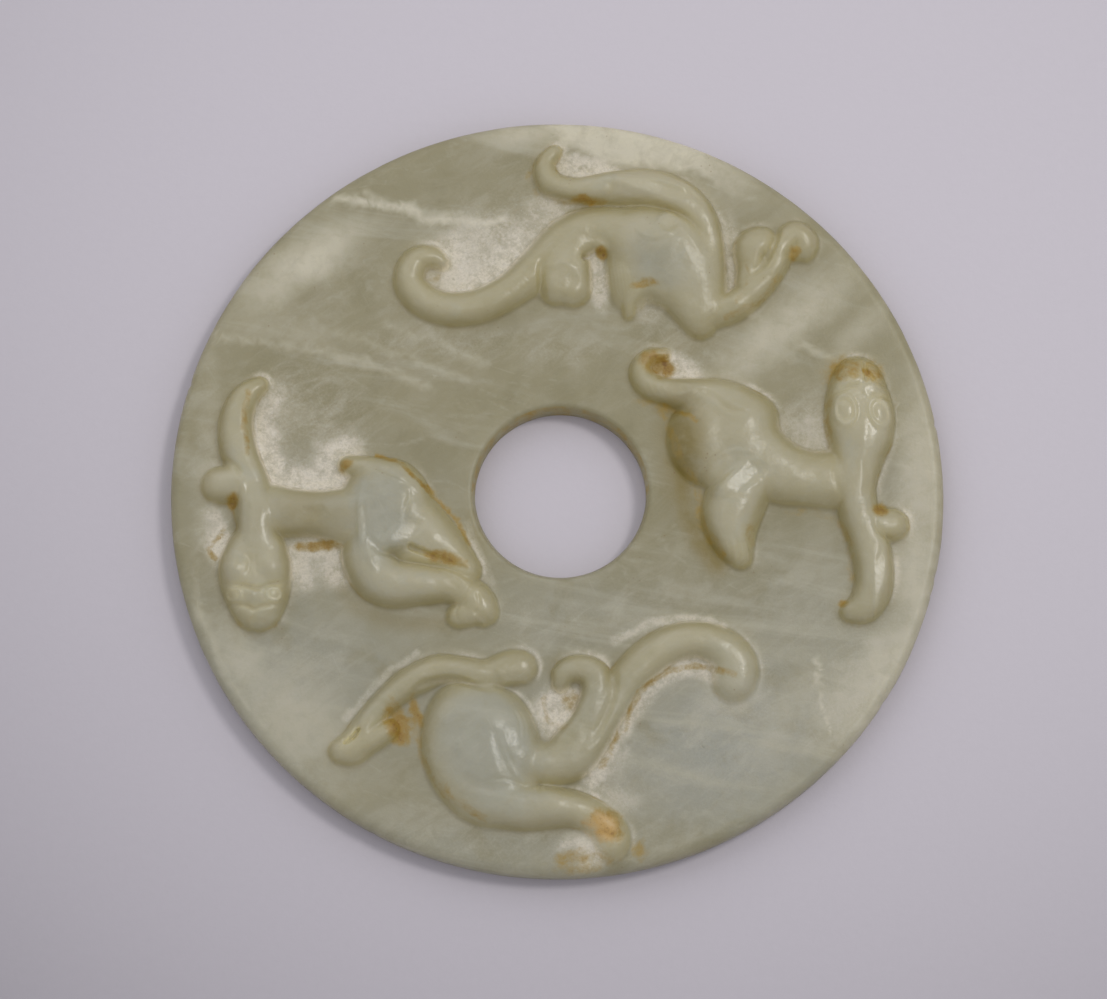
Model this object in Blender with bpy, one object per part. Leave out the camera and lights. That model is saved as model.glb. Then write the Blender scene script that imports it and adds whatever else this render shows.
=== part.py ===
"""Jade bi disc: a flat round plate with a round hole, carved from one stone.

Four young dragons in high relief clamber over the upper face. Two show their front
halves, left and right of the hole, and two show their hind halves, above and below it.
Units are metres, +Z is up, and the origin is the middle of the underside.
"""
import math

import bmesh
import bpy
import numpy as np

# Driving dimensions.
DISC_DIAMETER = 0.120
PLATE_THICKNESS = 0.0050
HOLE_DIAMETER = 0.0272
HOLE_OFFSET = 0.0005
HOLE_NARROWING = 0.0003
OUTER_EDGE_ROUNDING = 0.0017
HOLE_EDGE_ROUNDING = 0.0007
RELIEF_HEIGHT = 0.0042

# Fineness of the mesh: the carving is cut on a fine turned grid, which is then thinned out.
TURN_STEPS = 840
FACE_ROWS = 160
EDGE_STEPS = 4
TRIANGLE_BUDGET = 9400
SAME_PLACE = 1e-6

# The carving is laid out in hundredths of the disc's radius, with U to the right and
# V upward from the disc's axis, and its heights are shares of RELIEF_HEIGHT.
CARVING_UNIT = DISC_DIAMETER / 200
BARE = -3.0
SUM_SHARPNESS = 26.0
SUM_SHARE = 1.6
EMPTY_SUM = 1e-30
SHORTEST_SEGMENT = 1e-5
REACH = 1.5
CURVE_STEPS = 8
BLUFF = 4.5
FLAT_TOPPED = 3.2
ROUND_TOPPED = 2.6
MELTED = 0.28
SOFT = 0.16
FIRM = 0.10
FOOT_FILLET = 0.10
EYE_RIM_WIDTH = 0.34
EYE_RIM_RISE = 0.10
EYE_BALL_SIZE = 0.72
EYE_BALL_RISE = 0.05


def smooth_curve(rows, steps=CURVE_STEPS):
    """Rows of values along a Catmull-Rom curve through the given rows."""
    rows = np.array(rows, dtype=float)
    before = 2 * rows[0] - rows[1]
    after = 2 * rows[-1] - rows[-2]
    ends = np.vstack([before, rows, after])
    out = []
    for index in range(1, len(ends) - 2):
        p0, p1, p2, p3 = ends[index - 1:index + 3]
        for step in range(steps):
            t = step / steps
            linear = (p2 - p0) * t
            square = (2 * p0 - 5 * p1 + 4 * p2 - p3) * t ** 2
            cube = (3 * p1 - p0 - 3 * p2 + p3) * t ** 3
            out.append(0.5 * (2 * p1 + linear + square + cube))
    out.append(rows[-1])
    return np.array(out)


def smooth_larger(first, second, blend):
    """The larger of two heights, with a fillet where they are within blend of each other."""
    near = np.clip(blend - np.abs(first - second), 0.0, None) / blend
    return np.maximum(first, second) + near ** 2 * blend / 4


def smooth_smaller(first, second, blend):
    """The smaller of two heights, with the same fillet."""
    return -smooth_larger(-first, -second, blend)


def along_segment(u, v, start, end):
    """Distance from each place to a segment, and how far along it the nearest point lies."""
    du, dv = end[0] - start[0], end[1] - start[1]
    length_squared = max(du * du + dv * dv, SHORTEST_SEGMENT ** 2)
    t = ((u - start[0]) * du + (v - start[1]) * dv) / length_squared
    t = np.clip(t, 0.0, 1.0)
    distance = np.hypot(u - start[0] - t * du, v - start[1] - t * dv)
    return distance, t


class Carving:
    """Height of the carved face over the plate, at many places at once."""

    def __init__(self, u, v):
        self.u = u
        self.v = v
        self.height = np.full(u.shape, BARE)

    def _near(self, curve, margin):
        """Mask of the places close to a curve."""
        low = curve[:, :2].min(axis=0) - margin
        high = curve[:, :2].max(axis=0) + margin
        across = (self.u > low[0]) & (self.u < high[0])
        return across & (self.v > low[1]) & (self.v < high[1])

    def _oval(self, centre, radii, turn):
        """Distance of each place from the centre of an oval, as a share of its radii."""
        cos, sin = math.cos(math.radians(turn)), math.sin(math.radians(turn))
        du, dv = self.u - centre[0], self.v - centre[1]
        return np.hypot((du * cos + dv * sin) / radii[0], (dv * cos - du * sin) / radii[1])

    def _spine(self, curve, near):
        """Distance to a curve, and how far along it the nearest point lies, from 0 to 1."""
        distance = np.full(int(near.sum()), math.inf)
        along = np.zeros(distance.shape)
        for index, (start, end) in enumerate(zip(curve[:-1], curve[1:])):
            this, t = along_segment(self.u[near], self.v[near], start, end)
            closer = this < distance
            distance = np.where(closer, this, distance)
            along = np.where(closer, (index + t) / (len(curve) - 1), along)
        return distance, along

    def limb(self, rows, blend=MELTED, power=ROUND_TOPPED):
        """Adds a rounded limb: each row is U, V, half width and crest height."""
        curve = smooth_curve(rows)
        near = self._near(curve, REACH * curve[:, 2].max())
        u, v = self.u[near], self.v[near]
        heap = np.full(u.shape, EMPTY_SUM)
        for start, end in zip(curve[:-1], curve[1:]):
            distance, t = along_segment(u, v, start, end)
            length = math.dist(start[:2], end[:2])
            width = start[2] + t * (end[2] - start[2])
            crest = start[3] + t * (end[3] - start[3])
            rise = np.maximum(crest * (1 - (distance / width) ** power), BARE)
            heap += SUM_SHARE * length / start[2] * np.exp(SUM_SHARPNESS * rise)
        rise = np.log(heap) / SUM_SHARPNESS
        self.height[near] = smooth_larger(self.height[near], rise, blend)

    def mound(self, centre, radii, rise, turn=0, blend=SOFT, power=ROUND_TOPPED):
        """Adds an oval mound that stands on the plate."""
        share = self._oval(centre, radii, turn)
        form = np.maximum(rise * (1 - share ** power), BARE)
        self.height = smooth_larger(self.height, form, blend)

    def swell(self, centre, radii, rise, turn=0):
        """Lifts what is already there by a soft oval bump."""
        share = np.clip(self._oval(centre, radii, turn), 0.0, 1.0)
        self.height = self.height + rise * (1 - share ** 2) ** 2

    def line(self, points, half_width, depth, fade=0.3):
        """Cuts a groove that fades out at its ends. A depth below zero raises a ridge."""
        curve = smooth_curve(points)
        near = self._near(curve, half_width)
        distance, along = self._spine(curve, near)
        share = np.clip(distance / half_width, 0.0, 1.0)
        ends = np.clip(np.minimum(along, 1 - along) / fade, 0.0, 1.0)
        ends = ends * ends * (3 - 2 * ends)
        self.height[near] -= depth * ends * (1 - share ** 2) ** 2

    def trench(self, points, half_width, level):
        """Cuts a channel down to a level over the plate."""
        curve = smooth_curve(points)
        near = self._near(curve, REACH * half_width)
        distance, _ = self._spine(curve, near)
        wall = level + (distance / half_width) ** 3
        self.height[near] = smooth_smaller(self.height[near], wall, FIRM)

    def pit(self, centre, radii, level, turn=0):
        """Cuts an oval hollow down to a level over the plate."""
        share = self._oval(centre, radii, turn)
        near = share < REACH
        wall = level + share[near] ** 3
        self.height[near] = smooth_smaller(self.height[near], wall, FIRM)

    def eye(self, centre, radii, turn=0):
        """Raises an oval rim around a low ball."""
        share = self._oval(centre, radii, turn)
        rim = np.clip(1 - ((share - 1) / EYE_RIM_WIDTH) ** 2, 0.0, None) ** 2
        ball = np.clip(1 - (share / EYE_BALL_SIZE) ** 2, 0.0, None)
        self.height = self.height + EYE_RIM_RISE * rim + EYE_BALL_RISE * ball


def carve_right_dragon(carving):
    """Front half to the right of the hole: its head points up and its mane hangs down."""
    carving.mound((43, 14), (15, 14.5), 0.84, power=BLUFF)
    neck = ((47, 15, 9, 0.82), (52, 9, 9.5, 0.86), (58, 5, 8.8, 0.76),
            (65, 3.5, 7.9, 0.70), (74, 3, 8.5, 0.74))
    carving.limb(neck)
    upper_foreleg = ((50, 19, 7.8, 0.80), (43, 23.2, 6.8, 0.84), (35, 25.4, 5.1, 0.76),
                     (28.6, 26.4, 4.2, 0.64), (23.4, 28.6, 3.8, 0.56), (21.6, 32.5, 3.1, 0.50),
                     (24, 36, 2.3, 0.42), (28, 36.6, 1.8, 0.30))
    carving.limb(upper_foreleg)
    lower_foreleg = ((54, 7, 6.5, 0.80), (48, 2, 8.4, 0.94), (44.8, -6, 8.2, 0.90),
                     (45.2, -12.5, 6.0, 0.72), (47.2, -17.4, 3.6, 0.46))
    carving.limb(lower_foreleg, blend=SOFT)
    carving.swell((35.5, 13), (9, 11), 0.06)
    carving.line(((23, 24), (29.5, 21.8), (36, 19.6)), 1.8, 0.10)
    carving.line(((36, -3), (38.2, 4), (43, 10)), 1.6, 0.10)
    carving.line(((33, 27), (39.6, 24.6), (44.4, 20.6), (50, 19.6)), 1.6, 0.05)
    carving.line(((48.6, 7), (51.4, 4.6), (52.4, 0.6)), 1.2, 0.05)
    carving.line(((46.6, -21), (46.8, -16.6), (45.6, -12)), 1.1, 0.07)
    carving.line(((50.2, -20), (49.8, -15.4), (48.6, -11)), 1.1, 0.06)
    mane = ((78.0, 14, 8.6, 0.88), (77.4, 8, 6.8, 0.82), (76.8, 1, 5.6, 0.80), (77.8, -6, 5.4, 0.78),
            (79.8, -12, 5.5, 0.76), (81.2, -19, 5.4, 0.76), (81, -25.6, 5.2, 0.72),
            (78.6, -30.4, 4.6, 0.60), (75.0, -31.8, 3.0, 0.42))
    carving.limb(mane, blend=SOFT, power=FLAT_TOPPED)
    side_curl = ((80, -8.4, 4.8, 0.72), (83, -8.8, 4.9, 0.68), (86.2, -9, 4.9, 0.60))
    carving.limb(side_curl, blend=SOFT, power=FLAT_TOPPED)
    carving.pit((83.0, -5.0), (1.6, 1.4), 0.40)
    carving.line(((81.6, -6.2), (81.8, -10), (84.6, -12.6), (88, -12.4), (91, -9)), 1.2, 0.09)
    head = ((77.6, 29.4, 6.8, 0.64), (77.8, 25, 8.4, 0.80), (78.2, 19.6, 9.4, 0.90),
            (78.4, 15, 8.8, 0.90))
    carving.limb(head, blend=SOFT, power=BLUFF)
    carving.swell((75.3, 30.6), (4.6, 4.2), 0.18)
    carving.swell((82.2, 30.4), (3.2, 4.0), 0.18)
    carving.swell((80.3, 26.2), (2.4, 2.4), 0.10)
    carving.line(((79.8, 35), (79.6, 31), (80.2, 27)), 1.1, 0.16)
    carving.line(((80.2, 32), (81.8, 28.6), (87, 27)), 1.0, 0.14)
    carving.line(((79.4, 26), (82.6, 24.2), (88, 23.6)), 1.0, 0.14)
    carving.line(((79.4, 31.6), (76, 29.2), (70, 29)), 1.0, 0.11)
    carving.line(((79.4, 27.4), (75, 26.4), (69, 24)), 1.0, 0.10)
    carving.line(((79.2, 24), (78.8, 16), (78.6, 9), (78, 0)), 2.4, -0.05)
    carving.eye((74.2, 20.4), (2.6, 3.9), turn=8)
    carving.eye((83.2, 19.8), (2.6, 3.9), turn=18)


def carve_left_dragon(carving):
    """Front half to the left of the hole: its head points down and its mane stands up."""
    carving.mound((-44, -4), (12, 13), 0.86, power=BLUFF)
    shoulder = ((-47, -1, 9, 0.82), (-42, -7, 11.2, 0.90), (-35, -12, 9.3, 0.84),
                (-28.6, -15.8, 6.4, 0.62), (-23.4, -21, 4.4, 0.50))
    carving.limb(shoulder)
    neck = ((-76, -5, 8, 0.80), (-68, -5.6, 7, 0.70), (-61, -6, 6.8, 0.70), (-53, -7, 9, 0.84))
    carving.limb(neck)
    upper_foreleg = ((-42, 3, 5.6, 0.78), (-48, 5.4, 4.2, 0.70), (-54, 7.0, 3.0, 0.50))
    carving.limb(upper_foreleg, blend=MELTED)
    lower_foreleg = ((-46, -8, 7.6, 0.88), (-48.4, -17, 7.6, 0.94), (-44, -23.6, 7.2, 0.92),
                     (-35, -24.4, 5.9, 0.80), (-27, -25, 4.8, 0.66), (-21, -28.5, 5.0, 0.60),
                     (-18.8, -31.8, 4.4, 0.50))
    carving.limb(lower_foreleg, blend=SOFT)
    paw = ((-21, -31, 4.8, 0.52), (-25.4, -32.8, 3.6, 0.42))
    carving.limb(paw, blend=SOFT)
    carving.trench(((-37.6, -15.4), (-33.0, -17.4), (-27.4, -19.6), (-21.4, -21.8)), 1.7, 0.50)
    carving.line(((-50, -12), (-45, -16.4), (-40, -17), (-34, -15)), 1.8, 0.08)
    carving.line(((-49.4, -2), (-50, -9), (-49.6, -18)), 2.0, -0.05)
    carving.line(((-45.6, -14.6), (-41, -13), (-36.4, -9), (-33.4, -8)), 1.5, -0.05)
    carving.line(((-36, -0.6), (-38.4, -4.4), (-39.4, -9.6)), 1.3, 0.05)
    carving.line(((-20, -23), (-22.4, -27), (-25, -30.6)), 1.2, 0.06)
    carving.line(((-16, -36), (-19, -33.4), (-22.4, -31)), 1.2, 0.06)
    mane = ((-77.2, -13, 6.0, 0.88), (-77.2, -6, 5.4, 0.84), (-78.8, 1, 5.4, 0.80),
            (-81.4, 8, 5.2, 0.74), (-83.0, 15, 5.0, 0.70), (-82.6, 21, 4.5, 0.62),
            (-80.2, 25.8, 3.7, 0.52), (-77, 28.2, 2.5, 0.38))
    carving.limb(mane, blend=SOFT, power=FLAT_TOPPED)
    head = ((-76.9, -30.6, 6.9, 0.62), (-77.1, -26, 8.8, 0.78), (-77.6, -20.8, 9.9, 0.84),
            (-77.4, -16.4, 8.4, 0.84))
    carving.limb(head, blend=SOFT, power=BLUFF)
    side_curl = ((-80.6, 2.2, 5.0, 0.76), (-84, 1.8, 5.4, 0.72), (-87, 1.6, 5.4, 0.64))
    carving.limb(side_curl, blend=SOFT, power=FLAT_TOPPED)
    carving.line(((-88.6, 8.2), (-85.4, 7.6), (-82.6, 5.6), (-80.6, 2.0)), 1.2, 0.13)
    carving.pit((-83.9, -3.4), (1.7, 2.2), 0.18)
    carving.line(((-81.8, 3.4), (-80.8, 0), (-80.8, -6), (-81.3, -15)), 1.3, -0.06)
    carving.line(((-89, -24.6), (-80, -25.6), (-77, -26.4), (-73, -25.2), (-66, -24.4)), 1.0, 0.13)
    carving.line(((-87, -29.8), (-80, -30.6), (-77.4, -31.4), (-75, -30.6), (-68, -29.8)), 1.0, 0.13)
    carving.line(((-77.3, -38), (-77.5, -34.6), (-77.4, -31)), 1.2, 0.06)
    carving.swell((-77.6, -28.2), (2.4, 2.8), 0.12)
    carving.swell((-83.2, -21), (3.9, 4.4), 0.16)
    carving.swell((-72.6, -20.6), (3.9, 4.4), 0.16)
    carving.line(((-79.4, -17), (-78.6, -20), (-79.2, -24)), 1.1, 0.07)
    carving.line(((-77, -17), (-77.4, -20), (-76.4, -24)), 1.1, 0.05)
    carving.eye((-82.8, -27.9), (1.9, 1.5))
    carving.eye((-72.4, -27.9), (1.9, 1.5))


def carve_top_dragon(carving):
    """Hind half above the hole: its forked tail runs to the left."""
    trunk = ((24, 67, 12, 0.80), (31.4, 61.4, 12, 0.84), (36, 52, 8.8, 0.76), (37.2, 45, 5, 0.54))
    carving.limb(trunk)
    carving.mound((30.6, 62.4), (13.4, 14), 0.78, blend=MELTED, power=BLUFF)
    carving.mound((20.4, 60), (8.2, 13), 0.56, turn=-6, blend=MELTED)
    carving.swell((27, 65), (14, 13), 0.14)
    long_tail = ((22, 67.5, 8.6, 0.72), (12, 70.6, 6.2, 0.60), (3.4, 68.2, 6.6, 0.56),
                 (-4.2, 60.6, 6.3, 0.54), (-12, 53.9, 5.2, 0.56), (-20, 49.7, 5.0, 0.60),
                 (-28, 48.7, 4.9, 0.62), (-35, 51.2, 4.8, 0.62), (-38.6, 56.2, 4.5, 0.60),
                 (-37, 61.4, 4.1, 0.56), (-32.8, 62.7, 3.4, 0.48), (-29.8, 61, 2.3, 0.36))
    carving.limb(long_tail)
    short_tail = ((12.6, 66, 2.6, 0.44), (8.6, 67, 3.4, 0.50), (4, 65, 4.6, 0.58),
                  (0.8, 60, 5.8, 0.64), (-0.2, 54.6, 5.6, 0.58))
    carving.limb(short_tail, blend=FIRM, power=FLAT_TOPPED)
    blunt_end = ((3.6, 61, 5.4, 0.64), (3.8, 54.4, 5.8, 0.58))
    carving.limb(blunt_end, blend=SOFT, power=FLAT_TOPPED)
    channel = ((7.4, 62.4), (9.8, 61.8), (11.6, 58.6), (11.9, 54.8), (11.2, 50.6), (9.6, 45.4))
    carving.trench(channel, 1.6, 0.06)
    carving.line(((-3.6, 63), (-4.3, 56), (-2.8, 49)), 1.5, 0.12)
    carving.line(((-3, 58.4), (1.4, 60.2), (6, 57.6)), 1.6, -0.06)
    upper_leg = ((40.8, 52, 3.0, 0.40), (41, 59, 3.0, 0.50), (40, 66.5, 3.6, 0.62),
                 (37.2, 73.2, 4.6, 0.74), (32, 78.4, 5.4, 0.78), (24, 81.2, 5.6, 0.78),
                 (14, 81.4, 4.8, 0.70), (5, 80.8, 3.7, 0.60), (-1.6, 82.6, 3.7, 0.54),
                 (-3.3, 87.6, 3.0, 0.48), (-0.6, 91.2, 2.2, 0.38))
    carving.limb(upper_leg, blend=SOFT, power=FLAT_TOPPED)
    carving.line(((39.8, 62), (37.4, 68), (32.4, 73.4), (25, 75.8), (14, 76.4)), 1.8, 0.08)
    carving.line(((14, 85), (14.2, 81), (13.6, 77)), 1.4, 0.07)
    carving.line(((32.4, 71.4), (35, 66), (37, 60.4)), 1.8, -0.05)
    carving.line(((19.6, 71), (23.6, 66.8), (28.4, 67.2), (31.4, 70.6)), 1.4, -0.05)
    lower_paw = ((18.6, 47.4, 2.0, 0.26), (19.4, 51.6, 2.6, 0.40), (23.4, 54.4, 2.8, 0.50),
                 (28, 53, 3.2, 0.58))
    carving.limb(lower_paw, blend=SOFT)
    carving.pit((23.6, 48.4), (3.2, 4.0), 0.03, turn=-30)
    stem = ((37, 47.5, 5.4, 0.56), (45.4, 49.2, 4.6, 0.54), (52, 54.6, 4.3, 0.56),
            (56.4, 60, 3.9, 0.58), (58.8, 65.6, 3.8, 0.58), (62, 68.6, 4.2, 0.58),
            (64.8, 66.6, 3.8, 0.52), (64.6, 64, 3.2, 0.44))
    carving.limb(stem, blend=SOFT)
    carving.mound((62.2, 66), (4.6, 4.8), 0.48, blend=SOFT, power=FLAT_TOPPED)
    side_curl = ((48.8, 54.8, 2.8, 0.38), (50.2, 60, 3.8, 0.46), (50.6, 65, 5.0, 0.56),
                 (53.2, 66.6, 4.8, 0.54))
    carving.limb(side_curl, blend=SOFT, power=FLAT_TOPPED)
    carving.line(((57.8, 71.4), (57.4, 67.4), (55.4, 62.4), (52.4, 57.4)), 1.2, 0.13)
    carving.line(((58.6, 62), (61.4, 64.4), (62.6, 67)), 1.1, 0.10)
    carving.pit((61.4, 63.2), (1.6, 1.8), 0.34)


def carve_bottom_dragon(carving):
    """Hind half below the hole: its forked tail runs to the right."""
    carving.mound((-19, -68), (15.6, 20.4), 0.84, turn=18, power=BLUFF)
    carving.swell((-16.6, -63.6), (14, 15), 0.16, turn=18)
    thigh = ((-18, -79, 8.6, 0.76), (-8, -82, 6.8, 0.82), (3, -82.6, 5.2, 0.72),
             (9.6, -85, 4.8, 0.58), (13.4, -88.8, 5.2, 0.48), (13.8, -91.8, 5.2, 0.42))
    carving.limb(thigh, blend=SOFT)
    carving.line(((-28, -73), (-20, -77.4), (-12, -78.6), (-4, -79.4)), 2.2, 0.05)
    carving.line(((-16, -61), (-14.6, -68), (-11.6, -75), (-6, -79)), 2.2, 0.06)
    carving.line(((8.6, -91), (11.6, -89.4), (15, -90.4), (19, -89)), 1.5, 0.07)
    carving.pit((11.2, -94.6), (1.2, 1.5), 0.12)
    upper_leg = ((-9.4, -46.2, 5.2, 0.36), (-12.6, -46.6, 5.2, 0.42), (-18, -48.2, 4.4, 0.48),
                 (-25, -47.2, 4.2, 0.56), (-31, -47, 4.3, 0.60), (-38.4, -50.6, 4.2, 0.58),
                 (-44.6, -55.8, 3.6, 0.56), (-48.8, -61, 3.7, 0.52), (-51.4, -66.6, 5.0, 0.52),
                 (-55.0, -67.8, 3.8, 0.44))
    carving.limb(upper_leg, blend=FIRM)
    toe = ((-49, -66, 3.8, 0.50), (-43, -62.4, 3.2, 0.46))
    carving.limb(toe, blend=SOFT)
    carving.trench(((-50.6, -62.6), (-52.0, -64.6), (-54.0, -66.0)), 0.9, 0.22)
    frosted_groove = ((-39, -56.6), (-35.4, -51.4), (-30, -49.8), (-25, -49.8), (-20.6, -51.4), (-15, -53))
    carving.line(frosted_groove, 1.5, 0.16)
    carving.line(((-5, -53), (-9.4, -51.6), (-14, -51.2), (-17.6, -47)), 1.8, 0.09)
    long_tail = ((-10, -70, 6, 0.66), (-2, -71, 6.2, 0.62), (5, -69, 6, 0.58), (10.4, -61.8, 5.2, 0.56),
                 (15.2, -53.2, 5.3, 0.60), (22, -44.9, 5.4, 0.62), (30, -39.8, 5.3, 0.62),
                 (37.4, -39, 5.2, 0.62), (43, -41.8, 5.8, 0.60), (45.6, -46, 6.3, 0.58),
                 (45.2, -49.6, 6.3, 0.54))
    carving.limb(long_tail)
    short_tail = ((2, -67.4, 5, 0.54), (7.2, -60, 4.2, 0.60), (9.8, -53.6, 4.3, 0.64),
                  (9.5, -48.4, 4.4, 0.64), (5.4, -46.4, 3.8, 0.58), (1.8, -47.8, 3.4, 0.52),
                  (0.8, -50.6, 2.5, 0.40))
    carving.limb(short_tail, blend=SOFT, power=FLAT_TOPPED)
    carving.line(((14.6, -44), (14.4, -53), (11.8, -60), (8, -67)), 1.8, 0.14)
    carving.line(((-5.6, -60), (-4.4, -66), (-7, -74), (-4, -78)), 2.6, 0.07)


def relief(u, v):
    """Height of the carving over the plate, in metres, at places given in carving units."""
    carving = Carving(u, v)
    carve_right_dragon(carving)
    carve_left_dragon(carving)
    carve_top_dragon(carving)
    carve_bottom_dragon(carving)
    return RELIEF_HEIGHT * smooth_larger(carving.height, np.zeros(u.shape), FOOT_FILLET)


def arc(centre, radius, start, end):
    """Points of a quarter round in the section, with angles in degrees."""
    points = []
    for step in range(EDGE_STEPS + 1):
        angle = math.radians(start + (end - start) * step / EDGE_STEPS)
        points.append((centre[0] + radius * math.cos(angle), centre[1] + radius * math.sin(angle)))
    return points


def disc_section():
    """Closed half section of the plain disc: hole wall, carved face, outer edge, underside."""
    rim = DISC_DIAMETER / 2
    bore_front = HOLE_DIAMETER / 2
    bore_back = bore_front - HOLE_NARROWING
    top = PLATE_THICKNESS
    small, large = HOLE_EDGE_ROUNDING, OUTER_EDGE_ROUNDING
    points = arc((bore_back + small, small), small, 270, 180)
    points += arc((bore_front + small, top - small), small, 180, 90)
    face_start, face_end = bore_front + small, rim - large
    for row in range(1, FACE_ROWS):
        points.append((face_start + (face_end - face_start) * row / FACE_ROWS, top))
    points += arc((rim - large, top - large), large, 90, 0)
    points += arc((rim - large, large), large, 0, -90)
    return points


def turn_section(points):
    """Mesh turned from the section around the Z axis."""
    mesh = bpy.data.meshes.new("jade_bi_disc")
    form = bmesh.new()
    verts = [form.verts.new((radius, 0.0, height)) for radius, height in points]
    edges = [form.edges.new((verts[i - 1], verts[i])) for i in range(len(verts))]
    bmesh.ops.spin(form, geom=verts + edges, axis=(0, 0, 1), cent=(0, 0, 0),
                   angle=2 * math.pi, steps=TURN_STEPS, use_merge=True)
    bmesh.ops.remove_doubles(form, verts=form.verts, dist=SAME_PLACE)
    bmesh.ops.recalc_face_normals(form, faces=form.faces)
    form.to_mesh(mesh)
    form.free()
    return mesh


def carve_mesh(mesh):
    """Moves the hole off the axis and raises the carving from the upper face."""
    flat = np.empty(len(mesh.vertices) * 3, dtype=np.float32)
    mesh.vertices.foreach_get("co", flat)
    places = flat.reshape(-1, 3).astype(float)
    rim = DISC_DIAMETER / 2
    bore = HOLE_DIAMETER / 2 - HOLE_NARROWING
    radius = np.hypot(places[:, 0], places[:, 1])
    places[:, 0] += HOLE_OFFSET * (rim - radius) / (rim - bore)
    upper = places[:, 2] > PLATE_THICKNESS - SAME_PLACE
    u = places[upper, 0] / CARVING_UNIT
    v = places[upper, 1] / CARVING_UNIT
    places[upper, 2] += relief(u, v)
    mesh.vertices.foreach_set("co", places.astype(np.float32).ravel())
    mesh.update()


def jade_material():
    """Pale grey-green nephrite with a soft polish."""
    material = bpy.data.materials.new("jade")
    material.use_nodes = True
    shader = material.node_tree.nodes["Principled BSDF"]
    shader.inputs["Base Color"].default_value = (0.36, 0.34, 0.22, 1.0)
    shader.inputs["Roughness"].default_value = 0.32
    shader.inputs["Metallic"].default_value = 0.0
    return material


def make_disc():
    """The whole disc as one solid, its mesh thinned out to the triangle budget."""
    mesh = turn_section(disc_section())
    carve_mesh(mesh)
    mesh.shade_smooth()
    mesh.materials.append(jade_material())
    disc = bpy.data.objects.new("jade_bi_disc", mesh)
    bpy.context.scene.collection.objects.link(disc)
    thin = disc.modifiers.new("thin_out", "DECIMATE")
    thin.ratio = TRIANGLE_BUDGET / (2 * len(mesh.polygons))
    return disc


def clear_scene():
    """Removes whatever objects the file holds."""
    for old in list(bpy.data.objects):
        bpy.data.objects.remove(old, do_unlink=True)


clear_scene()
make_disc()
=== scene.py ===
"""Looks of the carved jade bi disc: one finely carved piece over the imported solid, in metres."""
import math

import bmesh
import bpy
import numpy as np
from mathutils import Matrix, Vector


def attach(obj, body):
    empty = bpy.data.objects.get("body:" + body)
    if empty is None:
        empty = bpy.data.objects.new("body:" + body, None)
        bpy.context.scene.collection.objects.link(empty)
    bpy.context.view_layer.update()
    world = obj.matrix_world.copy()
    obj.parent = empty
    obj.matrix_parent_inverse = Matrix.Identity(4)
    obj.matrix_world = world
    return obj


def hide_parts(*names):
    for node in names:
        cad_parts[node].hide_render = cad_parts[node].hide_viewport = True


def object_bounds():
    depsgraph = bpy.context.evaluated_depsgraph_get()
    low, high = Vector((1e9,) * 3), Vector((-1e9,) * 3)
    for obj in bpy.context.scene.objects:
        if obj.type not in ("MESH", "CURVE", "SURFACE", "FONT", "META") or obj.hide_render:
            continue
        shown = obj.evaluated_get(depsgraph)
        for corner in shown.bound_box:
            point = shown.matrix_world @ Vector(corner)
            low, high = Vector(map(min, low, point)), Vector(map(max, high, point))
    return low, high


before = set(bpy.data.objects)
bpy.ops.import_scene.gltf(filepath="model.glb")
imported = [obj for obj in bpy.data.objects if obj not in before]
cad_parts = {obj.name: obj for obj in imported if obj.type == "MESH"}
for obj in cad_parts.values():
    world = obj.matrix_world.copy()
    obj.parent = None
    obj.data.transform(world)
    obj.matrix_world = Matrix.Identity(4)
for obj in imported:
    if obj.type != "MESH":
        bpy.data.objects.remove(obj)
cad_low, cad_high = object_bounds()

# The disc's sizes, as in the solid.
DISC_DIAMETER = 0.120
PLATE_THICKNESS = 0.0050
HOLE_DIAMETER = 0.0272
HOLE_OFFSET = 0.0005
HOLE_NARROWING = 0.0003
OUTER_EDGE_ROUNDING = 0.0017
HOLE_EDGE_ROUNDING = 0.0007
RELIEF_HEIGHT = 0.0042

# Fineness of the mesh: the carving is cut on a fine turned grid, which is then thinned out.
TURN_STEPS = 1150
FACE_ROWS = 230
BACK_ROWS = 40
EDGE_STEPS = 6
WALL_STEPS = 6
TRIANGLE_BUDGET = 190000
SAME_PLACE = 1e-6

# The carving is laid out in hundredths of the disc's radius, with U to the right and
# V upward from the disc's axis, and its heights are shares of RELIEF_HEIGHT.
CARVING_UNIT = DISC_DIAMETER / 200
BARE = -3.0
SUM_SHARPNESS = 26.0
SUM_SHARE = 1.6
EMPTY_SUM = 1e-30
SHORTEST_SEGMENT = 1e-5
REACH = 1.5
CURVE_STEPS = 8
STROKE_STEPS = 5
BLUFF = 4.5
FLAT_TOPPED = 3.2
ROUND_TOPPED = 2.6
MELTED = 0.28
SOFT = 0.16
FIRM = 0.10
FOOT_FILLET = 0.10
EYE_RIM_WIDTH = 0.34
EYE_RIM_RISE = 0.10
EYE_BALL_SIZE = 0.72
EYE_BALL_RISE = 0.05

# Unevenness of the carved surface, in shares of RELIEF_HEIGHT.
NOISE_CELLS = 64
WAVE_RISE = 0.010
BROAD_STROKE_RISE = 0.046
NARROW_STROKE_RISE = 0.018
POLISH_RISE = 0.0035
GRAIN_RISE = 0.020
FROST_SINK = 0.035
UNEVENNESS = 0.012
FLAT_LEAN = 0.036

# The finely carved piece's rim, a hair inside the solid's, and its wear, in metres.
VISUAL_RIM = DISC_DIAMETER / 2 - 0.00003
EDGE_FADE = 0.0006
TOP_CLEARANCE = 2e-5
EDGE_WEAR = 0.00012
UNDERSIDE_WAVE = 0.00004
UNDERSIDE_TOP = 1e-5

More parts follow.
